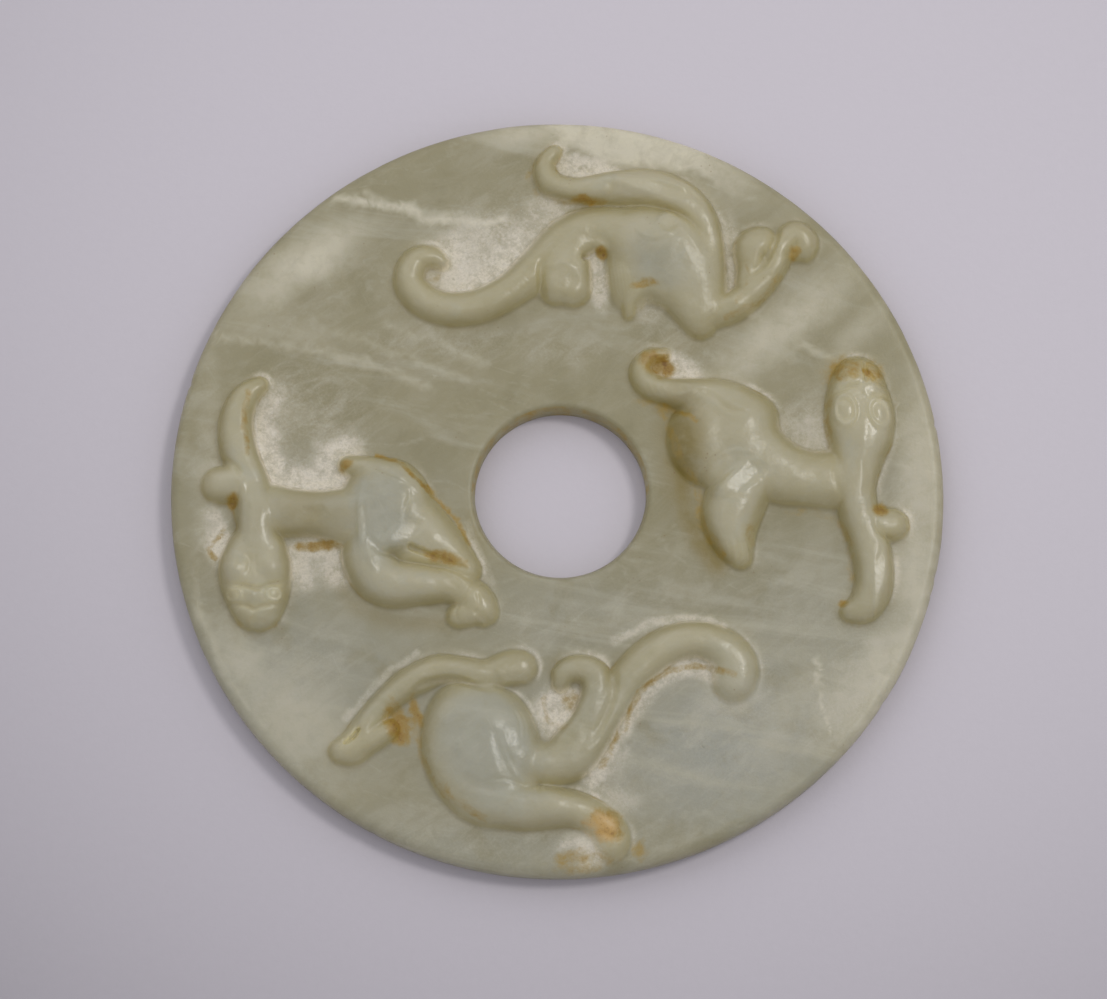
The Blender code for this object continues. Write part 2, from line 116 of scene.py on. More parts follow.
# Nicks in the rim: bearing and half width in degrees, and their depth beside the wear.
RIM_NICKS = ((10.6, 0.5), (-12.6, 0.6), (-15.4, 0.4), (-33, 0.8), (163, 0.6), (-118, 0.5))
NICK_DEPTH = 2.4

# Where the marks of the surface start, in metres and in carving units.
FACE_START, FACE_FADE = 0.0036, 0.0008
RING_RADIUS = 1.3
CONTOUR_SHARE = 0.05
GAP_STEP = 0.25
GAP_ROUNDS = 40
OUT_OF_REACH = 120.0

# How the photograph frames the disc.
IMAGE_WIDTH, IMAGE_HEIGHT = 1107, 999
DISC_CENTRE_PX = (557.2, 492.0)
PX_PER_METRE = 6460.0
CAMERA_ELEVATION = 77.2
LENS, SENSOR = 150.0, 36.0

# The centre of the pool of light painted on the floor, and how far its painted shade fades, in
# metres.
FLOOR_PAINTED_LIGHT_CENTRE = (0.022, 0.054, 0.0)
FLOOR_FADE = 0.172

# Colours, in linear light.
OLIVE_JADE = (0.271, 0.242, 0.132, 1.0)
GREY_JADE = (0.294, 0.298, 0.247, 1.0)
DEEP_JADE = (0.214, 0.189, 0.089, 1.0)
WALL_JADE = (0.378, 0.329, 0.169, 1.0)
WARM_JADE = (0.449, 0.409, 0.267, 1.0)
PALE_JADE = (0.360, 0.356, 0.271, 1.0)
MILKY_JADE = (0.383, 0.360, 0.258, 1.0)
CREAM_JADE = (0.616, 0.573, 0.432, 1.0)
CREASE_EARTH_AND_SHADE = (0.196, 0.147, 0.053, 1.0)
SHADE_OLIVE = (0.200, 0.151, 0.032, 1.0)
DUST_AND_GLINT_WHITE = (0.478, 0.446, 0.345, 1.0)
FROST_AND_HIGHLIGHT_WHITE = (0.712, 0.654, 0.538, 1.0)
GLINT_WHITE = (0.712, 0.694, 0.641, 1.0)
OCHRE = (0.305, 0.206, 0.032, 1.0)
GOLDEN_EARTH = (0.505, 0.306, 0.080, 1.0)
AMBER = (0.285, 0.160, 0.016, 1.0)
EARTH_BROWN = (0.169, 0.076, 0.012, 1.0)
# Lit and shaded ends of the floor's painted light fall-off.
FLOOR_PAINTED_LIT = (0.620, 0.583, 0.622, 1.0)
FLOOR_PAINTED_SHADE = (0.385, 0.362, 0.388, 1.0)

# Painted marks. A spot is U, V, two radii, its turn in degrees and its strength, and a stroke
# is its points, half width and strength.
FROST_SPOTS = (
    (-61.8, -19, 13, 7.4, 0, 0.8), (-88, -12, 4, 8, 10, 0.9), (63.4, 13.4, 11, 10, 0, 0.52),
    (-19, 63, 16, 12, 30, 0.95), (-6, 71, 14, 7, 35, 0.7), (8, 87.4, 9, 3.6, -12, 0.9),
    (30, 33, 9, 4.4, -14, 0.95), (1.6, -58, 8, 8, 0, 0.95), (45, 62, 3.0, 13, 0, 0.62),
    (23.6, 48.4, 4.4, 4.2, -20, 0.45), (10.4, 57, 3.0, 9, 8, 0.8), (6, -94, 6.4, 5.4, 0, 0.8),
    (17, -75, 8, 10, -30, 0.55), (45, -66, 24, 15, 20, 0.28))
FROST_STROKES = (
    (((15, -39.2), (22, -35.4), (29, -33.8), (37.5, -33.6), (42.3, -35.6)), 1.5, 0.66),
    (((46, -50), (37, -46), (28, -48), (21, -54), (15, -64), (9, -75)), 3.0, 0.8),
    (((-46, -62), (-40, -53), (-31, -49), (-22, -50)), 1.5, 0.5),
    (((-36, -42), (-46, -50), (-54, -59)), 1.2, 0.5), (((-50, 2), (-60, 0), (-70, 1)), 1.6, 0.8),
    (((-23, -8), (-20, -16), (-16.6, -24)), 1.1, 0.4),
    (((-24, 17), (-18, 22), (-10, 25)), 1.2, 0.4),
    (((-93, -18), (-92, -34), (-84, -48)), 1.2, 0.4), (((84, -50), (78, -58), (70, -64)), 3.0, 0.5))
STAIN_SPOTS = (
    (25.8, 33.8, 5.2, 3.6, -20, 1.0), (74, 32, 5.6, 4.4, 0, 0.75), (82, 31.5, 3.2, 4, 0, 0.7),
    (83.2, -5.6, 2.7, 2.3, 0, 1.0), (79.8, 31, 1.1, 1.6, 0, 1.0), (11.6, 63.8, 1.6, 1.8, 0, 1.0),
    (61.8, 63.4, 1.6, 2.0, 0, 0.9), (-83.8, -3.4, 1.6, 1.8, 0, 0.9), (-62, -14.6, 7, 1.6, 0, 0.8),
    (-54.6, 6.6, 2.4, 1.6, 20, 0.8), (-40.6, -61, 3.8, 6, 30, 0.85), (-36, -58, 1.6, 5, 10, 0.9),
    (12.6, -87, 5.6, 4.2, -30, 0.85), (6, -96, 9, 3.4, 8, 0.62), (20.6, -93, 2.6, 3.6, 0, 0.6),
    (3.4, -55, 2.0, 3.4, 0, 0.6), (-29, -18.2, 6.4, 1.9, -16, 0.85), (50, -12, 2.0, 3.4, 0, 0.5),
    (23, 54.6, 4.6, 1.2, 0, 0.6), (7.4, 77.6, 6.6, 1.0, 2, 0.8), (-32, 57.4, 2.2, 1.2, 30, 0.5),
    (73.4, -29.4, 1.4, 1.4, 0, 0.8), (34, -15.5, 2.2, 1.6, 0, 0.35),
    (-78, -34.6, 4.6, 1.8, 0, 0.35))
STAIN_STROKES = (
    (((20, 24.4), (27, 21.6), (29.6, 15), (32, 8), (36.4, 1), (37, -8), (42, -17)), 1.3, 0.55),
    (((-47, 9.6), (-41, 7.4), (-35, 1.6), (-28, -5), (-22.6, -14)), 0.9, 0.75),
    (((-80, 26), (-80.6, 18), (-79.6, 9)), 1.0, 0.6),
    (((45, -49), (38, -46), (30, -46.4), (23, -51), (17, -61), (11, -72)), 1.0, 0.6),
    (((-36, -61), (-34, -71), (-28, -79), (-18, -86)), 1.1, 0.5),
    (((58, -5.6), (66, -5), (72, -8), (75, -14), (75.4, -24)), 1.2, 0.45),
    (((70.4, 13), (69.6, 20), (71, 28)), 1.0, 0.5), (((-5, 79), (-7.4, 84), (-4, 90)), 1.1, 0.45),
    (((44, 46), (53, 50.6), (58, 57)), 1.0, 0.5), (((-86, -10), (-90, -15), (-88, -18)), 0.8, 0.6),
    (((-3, -54), (-2, -60), (2, -62)), 1.0, 0.5), (((46.6, 50), (50, 58), (46.6, 66)), 0.8, 0.35),
    (((27.6, 22.6), (32, 20.6), (36, 17.4)), 0.8, 0.7))
CLOUD_SPOTS = (
    (-65, 62, 14, 5.4, 32, 0.85), (-74, 54, 9, 5, 40, 0.5), (59, 44, 20, 5, 40, 0.6),
    (78, 42, 10, 3, 50, 0.3), (92, -22, 4, 18, 0, 0.55), (84, -46, 6, 16, -35, 0.62),
    (76, -56, 9, 12, -40, 0.45), (60, -56, 14, 5, 48, 0.25), (-8, 96, 10, 3.4, 0, 0.6),
    (-90, 8, 3, 22, 0, 0.25), (-80, -45, 5, 12, 35, 0.4), (-66, -60, 16, 9, -42, 0.42),
    (-71, 43, 14, 4, -10, 0.28), (30, 84, 22, 4, -14, 0.25), (94, 6, 5, 20, 0, 0.55),
    (20, 82, 16, 4, -4, 0.3), (-34, 56, 9, 12, 0, 0.22), (44, -48, 6, 9, 0, 0.42),
    (32, -43, 8, 4, 20, 0.34), (11, -88, 5, 5, 0, 0.8))
CLOUD_STROKES = (
    (((-58, 79), (-42, 77), (-30, 73), (-14, 73)), 1.0, 0.8),
    (((-50, 81), (-36, 75), (-24, 74.6)), 0.8, 0.4),
    (((-92, 42), (-72, 39), (-52, 35), (-34, 28)), 0.9, 0.34),
    (((-44, 45), (-28, 39), (-18, 34)), 0.8, 0.28), (((-62, 44), (-44, 38), (-24, 30)), 0.9, 0.22),
    (((46, 52), (60, 40), (72, 36)), 1.0, 0.4), (((-92, -30), (-82, -52), (-64, -70)), 1.0, 0.35),
    (((66, -44), (68, -56), (70, -64)), 0.5, 0.7), (((76, -62), (84, -54), (90, -40)), 1.2, 0.5))
FILM_SPOTS = (
    (-22, 66, 22, 9, 35, 0.8), (-30, 40, 24, 4, -4, 0.6), (0, 38, 14, 5, 0, 0.5),
    (66, 16, 9, 12, 0, 0.6), (-88, 0, 5, 34, 8, 0.5), (-66, -46, 14, 9, 30, 0.45),
    (-60, -14, 12, 12, 0, 0.6), (40, -64, 22, 14, 30, 0.45), (80, -50, 10, 18, -35, 1.0),
    (91, -16, 5, 22, 0, 0.85), (8, -34, 30, 5, 0, 0.4), (-6, -90, 40, 7, 0, 0.5),
    (10, 84, 26, 6, -10, 0.5), (52, 62, 10, 8, -30, 0.5), (30, 40, 14, 6, -20, 0.5),
    (60, -30, 16, 12, 0, 0.25), (-60, 55, 20, 12, 30, 0.25), (24, -28, 20, 6, 10, 0.3))
COOL_SPOTS = (
    (-60, -4, 30, 14, 0, 0.45), (-66, -50, 34, 26, 0, 0.7), (-16, -66, 18, 20, 0, 0.85),
    (42, -66, 30, 22, 20, 1.0), (66, -40, 34, 26, 0, 0.5), (26, 60, 10, 9, 0, 0.6),
    (4, -34, 30, 16, 0, 0.5), (-20, -94, 50, 14, 0, 0.55), (44, 4, 14, 12, 0, 0.3),
    (10, -60, 26, 22, 0, 0.62), (-30, -56, 22, 12, 30, 0.55), (84, -4, 7, 16, 0, 0.35))
# Painted olive shade beside the relief's contour and over some shaded walls.
SHADE_SPOTS = (
    (32.6, 11, 5.4, 13, 0, 1.0), (-20, -8, 4, 6, 0, 0.3), (34, 40, 9, 4, 0, 0.2),
    (-63, -7, 10, 5, 0, 0.5), (44, 14, 8, 8, 0, 0.14), (75, -4, 5, 10, 0, 0.15))
SHADE_STROKES = (
    (((31.6, 6), (33.4, -3), (36.2, -11), (41, -19)), 2.8, 1.0),
    (((-57, -22), (-52, -29), (-42, -34), (-30, -34)), 2.2, 0.4),
    (((27, 22), (31, 20.6), (36, 17.6)), 1.6, 0.8))

# The cream vein's lower border: places across the disc, and its height there.
CREAM_BORDER = ((-14, -4.4, 5.9, 16.2, 31.7, 39.4, 54), (103, 97.1, 90.5, 87.2, 86.4, 83.4, 74))

# Rows of hair lines: their number, pitch and drop, and the first one's points, half width
# and depth.
HAIR_LINES = (
    (6, 1.3, 0.0, ((-11.6, -57), (-9.6, -61), (-9.4, -66)), 0.6, 0.03),
    (4, 1.5, 0.0, ((-1.6, -77), (0.4, -79), (2.6, -80.4)), 0.6, 0.03),
    (6, 1.2, 0.4, ((-50, 6), (-45, 3.4), (-40.6, -0.4)), 0.6, 0.014),
    (4, 1.6, 0.0, ((22.5, 29.6), (23.4, 26.6), (25, 24.6)), 0.6, 0.02))

# Folds, toes and edges: points, half width and depth.
FINE_LINES = (
    (((-51, -2), (-50.4, -9), (-48.6, -17.6), (-45.4, -24)), 1.3, -0.045),
    (((-38.2, 0), (-38, -3), (-39.2, -5.4)), 0.8, 0.05),
    (((-46.4, -16.8), (-43, -17.4), (-38.6, -19.6)), 0.9, 0.05),
    (((-31.6, -20.4), (-27, -22), (-22.4, -25.4)), 0.9, -0.05),
    (((-21, -26), (-20, -30), (-21.6, -34)), 0.8, 0.04),
    (((-24.6, -29.6), (-26, -32.6), (-25, -35)), 0.7, 0.03),
    (((33.4, 24.4), (36, 26.4), (39.4, 27)), 0.9, -0.04),
    (((72.4, 10), (71.4, 4), (73, -3)), 1.3, 0.05),
    (((78.6, 9), (79.8, 3), (78.6, -4)), 1.5, 0.07),
    (((40.4, 24), (44, 20.8), (48.6, 19.8)), 0.8, 0.035),
    (((37.4, -4), (37.2, 1), (40.4, 7), (46, 9.6), (51.4, 8.4)), 1.0, -0.03),
    (((44.8, -20.4), (44.6, -16.6), (43.6, -13)), 0.8, 0.04),
    (((48.8, -20.4), (48.4, -16.6), (47.2, -13)), 0.8, 0.04),
    (((33.2, 81), (35, 79), (38.6, 75.4)), 1.0, 0.06),
    (((33, 80.4), (25, 82.4), (15, 83)), 0.9, -0.03),
    (((31.6, 70.6), (34.6, 66), (38.2, 60.6)), 0.8, -0.04),
    (((-15.4, -63), (-13.8, -68), (-11, -74), (-7.6, -77.4)), 1.0, -0.04),
    (((-18.6, -77), (-14, -75.8), (-9, -77), (-5.4, -80)), 0.8, 0.035),
    (((-4.6, -75.4), (-4.4, -77.4), (-4.8, -79.6)), 0.7, 0.08))

# Polished flats: U, V, two radii, turn in degrees and firmness.
FLATS = (
    (-39.6, -12, 5.6, 2.2, 35, 0.9), (-64.6, -8, 4.6, 1.8, 25, 0.35), (-50, -10, 1.2, 6, 4, 0.8),
    (47, 2, 6.0, 2.5, 32, 1.0), (64, 3.4, 3.4, 1.6, 0, 0.4), (81, 26, 1.8, 1.6, 0, 0.9),
    (82.4, -23, 1.4, 8, -8, 0.8), (29.6, 27, 3.4, 1.6, -10, 0.4),
    (28.8, 71.0, 2.3, 2.4, -20, 0.75), (35.2, 63, 1.6, 5.4, 30, 0.6),
    (24, 80.6, 9, 1.8, -12, 0.45), (1.6, 55, 3.4, 2.0, 10, 0.45), (-22, -68, 3.0, 3.0, 0, 0.35),
    (-12.6, -72, 1.5, 4.4, 20, 0.5), (5.6, -66, 1.4, 5, -30, 0.5))


def smooth_curve(rows, steps=CURVE_STEPS):
    """Rows of values along a Catmull-Rom curve through the given rows."""
    rows = np.array(rows, dtype=float)
    before = 2 * rows[0] - rows[1]
    after = 2 * rows[-1] - rows[-2]
    ends = np.vstack([before, rows, after])
    out = []
    for index in range(1, len(ends) - 2):
        p0, p1, p2, p3 = ends[index - 1:index + 3]
        for step in range(steps):
            t = step / steps
            linear = (p2 - p0) * t
            square = (2 * p0 - 5 * p1 + 4 * p2 - p3) * t ** 2
            cube = (3 * p1 - p0 - 3 * p2 + p3) * t ** 3
            out.append(0.5 * (2 * p1 + linear + square + cube))
    out.append(rows[-1])
    return np.array(out)


def smooth_larger(first, second, blend):
    """The larger of two heights, with a fillet where they are within blend of each other."""
    near = np.clip(blend - np.abs(first - second), 0.0, None) / blend
    return np.maximum(first, second) + near ** 2 * blend / 4


def smooth_smaller(first, second, blend):
    """The smaller of two heights, with the same fillet."""
    return -smooth_larger(-first, -second, blend)


def along_segment(u, v, start, end):
    """Distance from each place to a segment, and how far along it the nearest point lies."""
    du, dv = end[0] - start[0], end[1] - start[1]
    length_squared = max(du * du + dv * dv, SHORTEST_SEGMENT ** 2)
    t = ((u - start[0]) * du + (v - start[1]) * dv) / length_squared
    t = np.clip(t, 0.0, 1.0)
    distance = np.hypot(u - start[0] - t * du, v - start[1] - t * dv)
    return distance, t


def oval_distance(u, v, centre, radii, turn):
    """Distance of each place from the centre of an oval, as a share of its radii."""
    cos, sin = math.cos(math.radians(turn)), math.sin(math.radians(turn))
    du, dv = u - centre[0], v - centre[1]
    return np.hypot((du * cos + dv * sin) / radii[0], (dv * cos - du * sin) / radii[1])


class Carving:
    """Height of the carved face over the plate, at many places at once."""

    def __init__(self, u, v):
        self.u = u
        self.v = v
        self.height = np.full(u.shape, BARE)

    def _near(self, curve, margin):
        """Mask of the places close to a curve."""
        low = curve[:, :2].min(axis=0) - margin
        high = curve[:, :2].max(axis=0) + margin
        across = (self.u > low[0]) & (self.u < high[0])
        return across & (self.v > low[1]) & (self.v < high[1])

    def oval(self, centre, radii, turn):
        """Distance of each place from the centre of an oval, as a share of its radii."""
        return oval_distance(self.u, self.v, centre, radii, turn)

    def _spine(self, curve, near):
        """Distance to a curve, and how far along it the nearest point lies, from 0 to 1."""
        distance = np.full(int(near.sum()), math.inf)
        along = np.zeros(distance.shape)
        for index, (start, end) in enumerate(zip(curve[:-1], curve[1:])):
            this, t = along_segment(self.u[near], self.v[near], start, end)
            closer = this < distance
            distance = np.where(closer, this, distance)
            along = np.where(closer, (index + t) / (len(curve) - 1), along)
        return distance, along

    def limb(self, rows, blend=MELTED, power=ROUND_TOPPED):
        """Adds a rounded limb: each row is U, V, half width and crest height."""
        curve = smooth_curve(rows)
        near = self._near(curve, REACH * curve[:, 2].max())
        u, v = self.u[near], self.v[near]
        heap = np.full(u.shape, EMPTY_SUM)
        for start, end in zip(curve[:-1], curve[1:]):
            distance, t = along_segment(u, v, start, end)
            length = math.dist(start[:2], end[:2])
            width = start[2] + t * (end[2] - start[2])
            crest = start[3] + t * (end[3] - start[3])
            rise = np.maximum(crest * (1 - (distance / width) ** power), BARE)
            heap += SUM_SHARE * length / start[2] * np.exp(SUM_SHARPNESS * rise)
        rise = np.log(heap) / SUM_SHARPNESS
        self.height[near] = smooth_larger(self.height[near], rise, blend)

    def mound(self, centre, radii, rise, turn=0, blend=SOFT, power=ROUND_TOPPED):
        """Adds an oval mound that stands on the plate."""
        share = self.oval(centre, radii, turn)
        form = np.maximum(rise * (1 - share ** power), BARE)
        self.height = smooth_larger(self.height, form, blend)

    def swell(self, centre, radii, rise, turn=0):
        """Lifts what is already there by a soft oval bump."""
        share = np.clip(self.oval(centre, radii, turn), 0.0, 1.0)
        self.height = self.height + rise * (1 - share ** 2) ** 2

    def line(self, points, half_width, depth, fade=0.3):
        """Cuts a groove that fades out at its ends. A depth below zero raises a ridge."""
        curve = smooth_curve(points)
        near = self._near(curve, half_width)
        distance, along = self._spine(curve, near)
        share = np.clip(distance / half_width, 0.0, 1.0)
        ends = np.clip(np.minimum(along, 1 - along) / fade, 0.0, 1.0)
        ends = ends * ends * (3 - 2 * ends)
        self.height[near] -= depth * ends * (1 - share ** 2) ** 2

    def trench(self, points, half_width, level):
        """Cuts a channel down to a level over the plate."""
        curve = smooth_curve(points)
        near = self._near(curve, REACH * half_width)
        distance, _ = self._spine(curve, near)
        wall = level + (distance / half_width) ** 3
        self.height[near] = smooth_smaller(self.height[near], wall, FIRM)

    def pit(self, centre, radii, level, turn=0):
        """Cuts an oval hollow down to a level over the plate."""
        share = self.oval(centre, radii, turn)
        near = share < REACH
        wall = level + share[near] ** 3
        self.height[near] = smooth_smaller(self.height[near], wall, FIRM)

    def eye(self, centre, radii, turn=0):
        """Raises an oval rim around a low ball."""
        share = self.oval(centre, radii, turn)
        rim = np.clip(1 - ((share - 1) / EYE_RIM_WIDTH) ** 2, 0.0, None) ** 2
        ball = np.clip(1 - (share / EYE_BALL_SIZE) ** 2, 0.0, None)
        self.height = self.height + EYE_RIM_RISE * rim + EYE_BALL_RISE * ball


def carve_right_dragon(carving):
    """Front half to the right of the hole: its head points up and its mane hangs down."""
    limb, line, swell = carving.limb, carving.line, carving.swell
    carving.mound((43, 14), (15, 14.5), 0.84, power=BLUFF)
    neck = ((47, 15, 9, 0.82), (52, 9, 9.5, 0.86), (58, 5, 8.8, 0.76),
            (65, 3.5, 7.9, 0.7), (74, 3, 8.5, 0.74))
    limb(neck)
    upper_foreleg = ((50, 19, 7.8, 0.8), (43, 23.2, 6.8, 0.84), (35, 25.4, 5.1, 0.76),
                     (28.6, 26.4, 4.2, 0.64), (23.4, 28.6, 3.8, 0.56), (21.6, 32.5, 3.1, 0.5),
                     (24, 36, 2.3, 0.42), (28, 36.6, 1.8, 0.3))
    limb(upper_foreleg)
    lower_foreleg = ((54, 7, 6.5, 0.8), (48, 2, 8.4, 0.94), (44.8, -6, 8.2, 0.9),
                     (45.2, -12.5, 6.0, 0.72), (47.2, -17.4, 3.6, 0.46))
    limb(lower_foreleg, blend=SOFT)
    swell((35.5, 13), (9, 11), 0.06)
    line(((23, 24), (29.5, 21.8), (36, 19.6)), 1.8, 0.1)
    line(((36, -3), (38.2, 4), (43, 10)), 1.6, 0.1)
    line(((33, 27), (39.6, 24.6), (44.4, 20.6), (50, 19.6)), 1.6, 0.05)
    line(((48.6, 7), (51.4, 4.6), (52.4, 0.6)), 1.2, 0.05)
    line(((46.6, -21), (46.8, -16.6), (45.6, -12)), 1.1, 0.07)
    line(((50.2, -20), (49.8, -15.4), (48.6, -11)), 1.1, 0.06)
    mane = ((78.0, 14, 8.6, 0.88), (77.4, 8, 6.8, 0.82), (76.8, 1, 5.6, 0.8), (77.8, -6, 5.4, 0.78),
            (79.8, -12, 5.5, 0.76), (81.2, -19, 5.4, 0.76), (81, -25.6, 5.2, 0.72),
            (78.6, -30.4, 4.6, 0.6), (75.0, -31.8, 3.0, 0.42))
    limb(mane, blend=SOFT, power=FLAT_TOPPED)
    side_curl = ((80, -8.4, 4.8, 0.72), (83, -8.8, 4.9, 0.68), (86.2, -9, 4.9, 0.6))
    limb(side_curl, blend=SOFT, power=FLAT_TOPPED)
    carving.pit((83.0, -5.0), (1.6, 1.4), 0.4)
    line(((81.6, -6.2), (81.8, -10), (84.6, -12.6), (88, -12.4), (91, -9)), 1.2, 0.09)
    head = ((77.6, 29.4, 6.8, 0.64), (77.8, 25, 8.4, 0.8), (78.2, 19.6, 9.4, 0.9),
            (78.4, 15, 8.8, 0.9))
    limb(head, blend=SOFT, power=BLUFF)
    swell((75.3, 30.6), (4.6, 4.2), 0.18)
    swell((82.2, 30.4), (3.2, 4.0), 0.18)
    swell((80.3, 26.2), (2.4, 2.4), 0.1)
    line(((79.8, 35), (79.6, 31), (80.2, 27)), 1.1, 0.16)
    line(((80.2, 32), (81.8, 28.6), (87, 27)), 1.0, 0.14)
    line(((79.4, 26), (82.6, 24.2), (88, 23.6)), 1.0, 0.14)
    line(((79.4, 31.6), (76, 29.2), (70, 29)), 1.0, 0.11)
    line(((79.4, 27.4), (75, 26.4), (69, 24)), 1.0, 0.1)
    line(((79.2, 24), (78.8, 16), (78.6, 9), (78, 0)), 2.4, -0.05)
    carving.eye((74.2, 20.4), (2.6, 3.9), turn=8)
    carving.eye((83.2, 19.8), (2.6, 3.9), turn=18)


def carve_left_dragon(carving):
    """Front half to the left of the hole: its head points down and its mane stands up."""
    limb, line, swell = carving.limb, carving.line, carving.swell
    carving.mound((-44, -4), (12, 13), 0.86, power=BLUFF)
    shoulder = ((-47, -1, 9, 0.82), (-42, -7, 11.2, 0.9), (-35, -12, 9.3, 0.84),
                (-28.6, -15.8, 6.4, 0.62), (-23.4, -21, 4.4, 0.5))
    limb(shoulder)
    neck = ((-76, -5, 8, 0.8), (-68, -5.6, 7, 0.7), (-61, -6, 6.8, 0.7), (-53, -7, 9, 0.84))
    limb(neck)
    upper_foreleg = ((-42, 3, 5.6, 0.78), (-48, 5.4, 4.2, 0.7), (-54, 7.0, 3.0, 0.5))
    limb(upper_foreleg, blend=MELTED)
    lower_foreleg = ((-46, -8, 7.6, 0.88), (-48.4, -17, 7.6, 0.94), (-44, -23.6, 7.2, 0.92),
                     (-35, -24.4, 5.9, 0.8), (-27, -25, 4.8, 0.66), (-21, -28.5, 5.0, 0.6),
                     (-18.8, -31.8, 4.4, 0.5))
    limb(lower_foreleg, blend=SOFT)
    paw = ((-21, -31, 4.8, 0.52), (-25.4, -32.8, 3.6, 0.42))
    limb(paw, blend=SOFT)
    carving.trench(((-37.6, -15.4), (-33.0, -17.4), (-27.4, -19.6), (-21.4, -21.8)), 1.7, 0.5)
    line(((-50, -12), (-45, -16.4), (-40, -17), (-34, -15)), 1.8, 0.08)
    line(((-49.4, -2), (-50, -9), (-49.6, -18)), 2.0, -0.05)
    line(((-45.6, -14.6), (-41, -13), (-36.4, -9), (-33.4, -8)), 1.5, -0.05)
    line(((-36, -0.6), (-38.4, -4.4), (-39.4, -9.6)), 1.3, 0.05)
    line(((-20, -23), (-22.4, -27), (-25, -30.6)), 1.2, 0.06)
    line(((-16, -36), (-19, -33.4), (-22.4, -31)), 1.2, 0.06)
    mane = ((-77.2, -13, 6.0, 0.88), (-77.2, -6, 5.4, 0.84), (-78.8, 1, 5.4, 0.8),
            (-81.4, 8, 5.2, 0.74), (-83.0, 15, 5.0, 0.7), (-82.6, 21, 4.5, 0.62),
            (-80.2, 25.8, 3.7, 0.52), (-77, 28.2, 2.5, 0.38))
    limb(mane, blend=SOFT, power=FLAT_TOPPED)
    head = ((-76.9, -30.6, 6.9, 0.62), (-77.1, -26, 8.8, 0.78), (-77.6, -20.8, 9.9, 0.84),
            (-77.4, -16.4, 8.4, 0.84))
    limb(head, blend=SOFT, power=BLUFF)
    side_curl = ((-80.6, 2.2, 5.0, 0.76), (-84, 1.8, 5.4, 0.72), (-87, 1.6, 5.4, 0.64))
    limb(side_curl, blend=SOFT, power=FLAT_TOPPED)
    line(((-88.6, 8.2), (-85.4, 7.6), (-82.6, 5.6), (-80.6, 2.0)), 1.2, 0.13)
    carving.pit((-83.9, -3.4), (1.7, 2.2), 0.18)
    line(((-81.8, 3.4), (-80.8, 0), (-80.8, -6), (-81.3, -15)), 1.3, -0.06)
    line(((-89, -24.6), (-80, -25.6), (-77, -26.4), (-73, -25.2), (-66, -24.4)), 1.0, 0.13)
    line(((-87, -29.8), (-80, -30.6), (-77.4, -31.4), (-75, -30.6), (-68, -29.8)), 1.0, 0.13)
    line(((-77.3, -38), (-77.5, -34.6), (-77.4, -31)), 1.2, 0.06)
    swell((-77.6, -28.2), (2.4, 2.8), 0.12)
    swell((-83.2, -21), (3.9, 4.4), 0.16)
    swell((-72.6, -20.6), (3.9, 4.4), 0.16)
    line(((-79.4, -17), (-78.6, -20), (-79.2, -24)), 1.1, 0.07)
    line(((-77, -17), (-77.4, -20), (-76.4, -24)), 1.1, 0.05)
    carving.eye((-82.8, -27.9), (1.9, 1.5))
    carving.eye((-72.4, -27.9), (1.9, 1.5))


